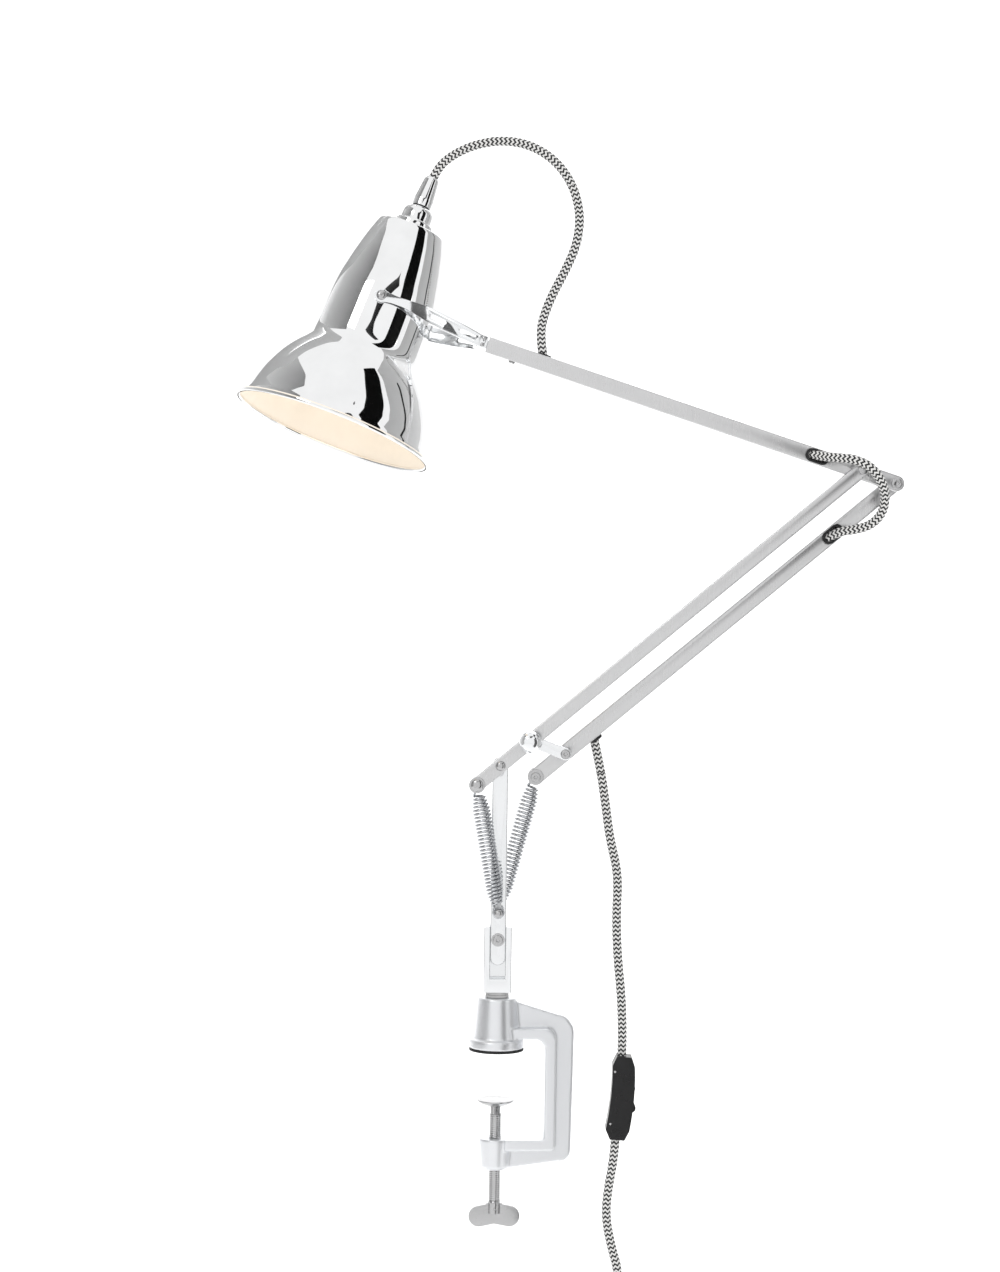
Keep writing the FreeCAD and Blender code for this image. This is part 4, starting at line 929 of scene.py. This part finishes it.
# ---- shade ----
@dataclass
class Shade:
    """The spun bell with its rolled rim and white lining, which carries painted bulb light."""

    wall: float = 0.8 * MM
    steps: int = 160
    bead: float = 1.7 * MM
    rim: float = 72.9 * MM
    top: float = 160 * MM
    hole: float = 5.3 * MM

    @staticmethod
    def outline() -> list[tuple[float, float]]:
        """The bell's outer line from above the rim to the top, as (radius, height).

        Returns:
            Points along the line.
        """
        points = millimetres([(73.0, 0, 3.0), (70.9, 0, 8.5), (68.9, 0, 16), (66.2, 0, 25), (62.6, 0, 33.6),
                              (58.0, 0, 42.6), (52.3, 0, 51.1), (47.2, 0, 57.2), (43.4, 0, 61.8),
                              (41.4, 0, 66.5), (40.9, 0, 74), (40.7, 0, 84), (40.3, 0, 98), (39.2, 0, 110),
                              (37.0, 0, 121), (34.6, 0, 132), (31.5, 0, 144), (28.8, 0, 153), (26.6, 0, 159)])
        return [(p.x, p.z) for p in smooth_line(points, 6)]

    def build(self) -> None:
        """Make the shell with chrome outside and enamel inside; the enamel glows with painted bulb light."""
        outer, top = self.outline(), self.top
        inner = []
        for (r0, z0), (r1, z1) in zip(outer, outer[1:]):
            way = Vector((r1 - r0, z1 - z0)).normalized()
            inner.append((r0 - way.y * self.wall, z0 + way.x * self.wall))
        crown = [(26.2 * MM, 159.6 * MM), (25.4 * MM, top), (self.hole, top)]
        under = [(self.hole, top - self.wall), (25.2 * MM, top - self.wall)]
        bead = []
        for index in range(15):
            angle = math.radians(250 - 330 * index / 14)
            bead.append((self.rim + self.bead * math.cos(angle), self.bead * (1.03 + math.sin(angle))))
        path = bead + outer[1:] + crown + under + inner[::-1]
        made = Piece("shade_shell").lathe(path, self.steps, LAMP.shade_frame).finish(Finish.CHROME, 40)
        # The second slot is the lining's material, whose warm tint and glow are painted bulb light.
        made.data.materials.append(Finish.LINING.material)
        inverse = LAMP.shade_frame.inverted()
        for face in made.data.polygons:
            centre = inverse @ face.center
            normal = inverse.to_3x3() @ face.normal
            away = Vector((centre.x, centre.y)).normalized()
            inward = normal.x * away.x + normal.y * away.y
            below_top = centre.z < top - self.wall * 0.5
            lining = inward < -0.05 and centre.z > 2.0 * MM
            ceiling = normal.z < -0.9 and centre.z > 0.1 and below_top
            if lining or ceiling:
                face.material_index = 1
        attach(made, "shade")
        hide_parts("shade")


# ---- small turned pieces ----
@dataclass
class ShadeTop:
    """The turned cap on the shade, and the split grip that holds the cord."""

    cap: Outline = (
        (5.3, 160.0), (14.5, 160.0), (14.5, 165.3), (13.7, 166.6), (11.9, 166.8), (11.7, 172.0),
        (11.4, 174.2), (10.3, 176.3), (8.6, 177.8), (6.9, 178.5), (5.3, 178.6))
    grip: Outline = (
        (3.5, 179.2), (7.4, 179.2), (7.5, 184.6), (5.7, 200.4), (4.7, 202.4), (3.5, 202.4))
    seat: Outline = ((3.7, 178.2), (6.6, 178.2), (6.6, 179.3), (3.7, 179.3))
    dark_above: float = 178.62 * MM
    dark_within: float = 5.2 * MM

    def build(self) -> None:
        """Make the cap, the dark seat above it and the grip's two halves."""
        frame = LAMP.shade_frame
        cap = Piece("shade_cap_turned").lathe(rounded(self.cap, 0.45), 96, frame)
        cap.lathe_ring(rounded(self.seat, 0.2), frame)
        made = cap.finish(Finish.CHROME, 50)
        made.data.materials.append(Finish.RUBBER.material)
        inverse = frame.inverted()
        for face in made.data.polygons:
            centre = inverse @ face.center
            if centre.z > self.dark_above or centre.xy.length < self.dark_within:
                face.material_index = 1
        stand_in(made, "shade_cap")
        halves = Piece("cord_grip_halves")
        for side in (0, 180):
            half = Piece("half").lathe(rounded(self.grip, 0.5), 40,
                                       frame @ Matrix.Rotation(math.radians(side + 2), 4, "Z"), 176)
            mesh = bpy.data.meshes.new("half")
            half.bm.to_mesh(mesh)
            half.bm.free()
            halves.bm.from_mesh(mesh)
            bpy.data.meshes.remove(mesh)
        stand_in(halves.finish(Finish.CHROME, 50), "cord_grip")


@dataclass
class Knob:
    """The domed tension knob with its grooved skirt."""

    profile: Outline = (
        (0.0, 2.4), (2.85, 2.4), (2.85, 0.0), (4.9, 0.0), (6.1, 1.4), (7.4, 2.5), (7.4, 2.9), (8.05, 3.1),
        (8.12, 4.4), (7.75, 5.9), (6.7, 7.8), (5.0, 9.3), (3.0, 10.1), (1.2, 10.38), (0.0, 10.4))
    seat_y: float = -17.7 * MM

    def build(self) -> None:
        """Make the knob."""
        place = LAMP.pivot + LAMP.heading(LAMP.bar_rise, LAMP.link_station) + Vector((0, self.seat_y, 0))
        knob = Piece("tension_knob_turned").lathe(rounded(self.profile, 0.35), 96, facing(place, FRONT))
        stand_in(knob.finish(Finish.POLISHED, 50), "tension_knob")


@dataclass
class Clamp:
    """The clamp: its soft-edged casting and its threaded screw."""

    yaw: float = 5.0
    root: float = 3.78
    crest: float = 0.58
    pitch: float = 1.5
    low: float = -112.6
    turns: int = 43

    def casting(self) -> None:
        """Melt the frame's corners into fillets, as a casting has them."""
        made = Carried("clamp_frame").place(Finish.CAST, 60)
        melt = made.modifiers.new("melt", "REMESH")
        melt.mode = "VOXEL"
        melt.voxel_size = 0.75 * MM
        melt.use_smooth_shade = True
        soft = made.modifiers.new("soft", "SMOOTH")
        soft.factor = 0.5
        soft.iterations = 7

    def screw(self) -> None:
        """Cut the shank down to the thread's root and wind the thread on it."""
        screw = Carried("clamp_screw")
        top = self.low + self.pitch * self.turns
        for height in (self.low, self.low + 0.4, top - 0.4, top):
            geometry = list(screw.bm.verts) + list(screw.bm.edges) + list(screw.bm.faces)
            bmesh.ops.bisect_plane(screw.bm, geom=geometry, plane_co=(0, 0, height * MM), plane_no=UP)
        for vert in screw.bm.verts:
            inside = self.low + 0.2 < vert.co.z / MM < top - 0.2
            if inside and vert.co.xy.length > 4 * MM:
                vert.co.xy = vert.co.xy.normalized() * self.root * MM
        start = Matrix.Translation((0, 0, self.low * MM)) @ Matrix.Rotation(math.radians(self.yaw), 4, "Z")
        screw.helix(self.root * MM, self.crest * MM, self.pitch * MM, self.turns, start)
        screw.place(Finish.STEEL, 30)

    def build(self) -> None:
        """Make both."""
        self.casting()
        self.screw()


@dataclass
class Plug:
    """The plug's body with finger ribs and a ringed neck."""

    place: Triple = (0.070, 0.024, -0.306)

    def profile(self) -> list[tuple[float, float]]:
        """The body's outline, from the cord down to the face of the pins.

        Returns:
            Corners as (radius, height) in millimetres.
        """
        line = [(3.45, -6.0), (3.45, 0.0), (4.6, 0.0)]
        for ring in range(6):
            top = -1.2 - 2.4 * ring
            wide = 4.7 + 0.26 * ring
            line += [(wide + 0.1, top), (wide + 0.2, top - 1.1)]
            line += [(wide - 0.5, top - 1.3), (wide - 0.4, top - 2.2)]
        line += [(6.3, -16.2), (9.6, -17.6), (12.0, -21.0), (13.0, -24.6), (13.5, -30.0), (13.6, -36.6),
                 (13.2, -38.0), (0.0, -38.0), (0.0, -6.0)]
        return line

    def build(self) -> None:
        """Make the body."""
        body = Piece("plug_body_fine").lathe(rounded(self.profile(), 0.3), 72,
                                             Matrix.Translation(self.place))
        stand_in(body.finish(Finish.BLACK, 40), "plug_body")


# ---- carried-over pieces ----
@dataclass(frozen=True)
class Dress:
    """The finish of some nodes, and how far their edges are rounded, in millimetres."""

    finish: Finish
    width: float
    nodes: tuple[str, ...]
    segments: int = 3


DRESSES = (
    Dress(Finish.RUBBER, 0.35, ("desk_pad", "lead_in_bush", "outlet_bush")),
    Dress(Finish.RUBBER, 0.55, ("upper_grommet", "lower_grommet"), 4),
    Dress(Finish.STEEL, 0.22, ("clamp_foot", "wing_pin", "spring_anchor_pin", "bracket_fasteners",
                               "main_pivot_fasteners", "front_spring_pin", "link_stud", "elbow_fasteners",
                               "end_pivot_fasteners", "rear_spring_pin", "link_fasteners", "yoke_rivets",
                               "yoke_grub_screw", "tilt_fasteners", "threaded_nipple", "cord_grip_screw",
                               "bulb_cap")),
    Dress(Finish.STEEL, 0.6, ("screw_wing",), 4),
    Dress(Finish.POLISHED, 0.4, ("swivel_bracket",), 4),
    Dress(Finish.POLISHED, 0.2, ("post", "short_link")),
    Dress(Finish.NYLON, 0.35, ("thrust_washers",)),
    Dress(Finish.BARS, 0.18, ("front_bar", "rear_bar")),
    Dress(Finish.ARM, 0.18, ("upper_arm", "arm_end_plug")),
    Dress(Finish.POLISHED, 0.35, ("yoke_hub", "yoke_blade_near", "yoke_blade_far")),
    Dress(Finish.BLACK, 0.5, ("lampholder", "coil_ties", "switch_rocker")),
    Dress(Finish.BLACK, 1.1, ("switch_front_shell", "switch_back_shell"), 5),
    Dress(Finish.BRASS, 0.25, ("plug_pins",)),
    Dress(Finish.STEEL, 0.25, ("switch_screws",)),
    Dress(Finish.LEAD, 0.2, ("upper_arm_lead", "rear_bar_lead")),
    Dress(Finish.OPAL, 0.2, ("bulb_glass",)),
)


def dress_frame() -> None:
    """Give every carried-over node its finish and its rounded edges."""
    for dress in DRESSES:
        for node in dress.nodes:
            Carried(node).soften(dress.width, dress.segments).place(dress.finish)


# ---- studio ----
@dataclass
class Studio:
    """Camera, floor, reflecting cards and soft lights."""

    floor_z: float = -0.46
    shade: Triple = (-0.10, 0.0, 0.54)
    eye: Triple = (-0.0018, -2.117, 0.3777)
    lens: float = 82.1
    sensor: float = 36
    pitch: float = 88.0
    roll: float = 0.85

    def camera(self) -> None:
        """Set the camera at its viewing angle."""
        data = bpy.data.cameras.new("camera")
        data.lens = self.lens
        data.sensor_width = self.sensor
        made = bpy.data.objects.new("camera", data)
        aim = Matrix.Rotation(math.radians(self.pitch), 4, "X")
        made.matrix_world = (Matrix.Translation(self.eye) @ aim
                             @ Matrix.Rotation(math.radians(self.roll), 4, "Z"))
        bpy.context.scene.collection.objects.link(made)
        bpy.context.scene.camera = made

    def card(self, name: str, start: Sequence[float], end: Sequence[float], width: float,
             greys: tuple[float, float]) -> None:
        """A strip of card that shows only in reflections, and faces the shade.

        Args:
            name: its name.
            start: the middle of its first end, from the shade.
            end: the middle of its other end, from the shade.
            width: its width.
            greys: its brightness along one long edge and along the other.
        """
        piece = bmesh.new()
        bmesh.ops.create_grid(piece, x_segments=1, y_segments=1, size=0.5)
        nodes = Nodes(name)
        split = nodes.add("ShaderNodeSeparateXYZ")
        nodes.link(nodes.object_space(), split.inputs["Vector"])
        across = nodes.between(split.outputs["X"], 0, 1, -0.5, 0.5)
        tint = nodes.tint(across, (greys[0],) * 3, (greys[1],) * 3)
        nodes.link(tint, nodes.shader.inputs["Base Color"])
        nodes.set(Roughness=1.0, Specular_IOR_Level=0.0)
        made = staged(name, piece, nodes)
        first, last = Vector(start), Vector(end)
        long = (last - first).normalized()
        inward = -(first + last)
        inward = (inward - long * inward.dot(long)).normalized()
        turn = Matrix((long.cross(inward), long, inward)).transposed().to_4x4()
        made.matrix_world = (Matrix.Translation(Vector(self.shade) + (first + last) / 2) @ turn
                             @ Matrix.Diagonal((width, (last - first).length, 1, 1)))
        made.visible_camera = False
        made.visible_diffuse = False
        made.visible_shadow = False

    def light(self, name: str, place: Sequence[float], aim: Sequence[float], size: float,
              power: float) -> None:
        """A square area light aimed at a point."""
        data = bpy.data.lights.new(name, "AREA")
        data.size = size
        data.energy = power
        made = bpy.data.objects.new(name, data)
        way = Vector(aim) - Vector(place)
        made.matrix_world = Matrix.Translation(place) @ way.to_track_quat("-Z", "Y").to_matrix().to_4x4()
        bpy.context.scene.collection.objects.link(made)

    def floor(self) -> None:
        """A pale floor that curves up into the backdrop."""
        piece = bmesh.new()
        near, bend, radius, half = -6.0, 2.2, 1.6, 6.0
        line = [(near, self.floor_z), (bend, self.floor_z)]
        for index in range(1, 13):
            angle = math.radians(90 * index / 12)
            line.append((bend + radius * math.sin(angle), self.floor_z + radius * (1 - math.cos(angle))))
        line.append((bend + radius, half))
        verts = [piece.verts.new((-half, y, z)) for y, z in line]
        edges = [piece.edges.new(pair) for pair in zip(verts, verts[1:])]
        grown = bmesh.ops.extrude_edge_only(piece, edges=edges)["geom"]
        moved = [v for v in grown if isinstance(v, bmesh.types.BMVert)]
        bmesh.ops.translate(piece, verts=moved, vec=(2 * half, 0, 0))
        nodes = Nodes("backdrop_paper")
        nodes.set(Base_Color=(0.93, 0.93, 0.93, 1), Roughness=0.9, Specular_IOR_Level=0.1)
        staged("backdrop", piece, nodes)

    def build(self) -> None:
        """Make the studio."""
        self.camera()
        self.floor()
        world = bpy.data.worlds.new("studio")
        bpy.context.scene.world = world
        world.use_nodes = True
        world.node_tree.nodes["Background"].inputs["Color"].default_value = (1, 1, 1, 1)
        world.node_tree.nodes["Background"].inputs["Strength"].default_value = 1.0
        bpy.context.scene.view_settings.view_transform = "Standard"
        self.light("key", (-1.3, -1.7, 1.9), (0, 0, 0.3), 0.9, 9)
        self.light("fill", (1.9, -1.3, 1.0), (0, 0, 0.3), 0.8, 3)
        self.light("back_wall", (0, 1.6, 2.4), (0, 3.4, 0.4), 2.4, 60)
        self.card("black_band", (0.56, -0.86, -1.2), (0.95, -0.28, 1.5), 0.40, (0.004, 0.004))
        self.card("grey_left", (-1.30, -0.20, -0.9), (-0.95, 0.10, 1.7), 2.2, (0.20, 0.60))
        self.card("grey_over", (-1.10, 0.75, 0.9), (0.30, 0.95, 1.4), 1.1, (0.45, 0.34))
        self.card("grey_right", (1.15, 0.10, -1.2), (1.25, 0.50, 1.6), 1.3, (0.52, 0.40))
        self.card("thin_line", (0.98, 0.02, -1.0), (1.00, 0.20, 0.6), 0.05, (0.02, 0.02))
        self.card("dark_low", (0.05, -1.0, 0.42), (0.62, -0.85, 0.62), 0.20, (0.01, 0.05))


def main() -> None:
    """Build the lamp's looks in order."""
    logging.basicConfig(level=logging.INFO, format="%(name)s: %(message)s")
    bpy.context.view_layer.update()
    Studio().build()
    dress_frame()
    Clamp().build()
    Plug().build()
    Cords().build()
    front, rear = Vector((0, LAMP.front_spring_y, 0)), Vector((0, LAMP.rear_spring_y, 0))
    Spring("front_spring", LAMP.front_hook + front, LAMP.anchor + front,
           ("swivel_post", "front_lower_arm")).build()
    Spring("rear_spring", LAMP.rear_hook + rear, LAMP.anchor + rear,
           ("swivel_post", "front_lower_arm", "rear_spring_carrier")).build()
    Shade().build()
    ShadeTop().build()
    Knob().build()


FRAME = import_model()
if __name__ == "__main__":
    main()
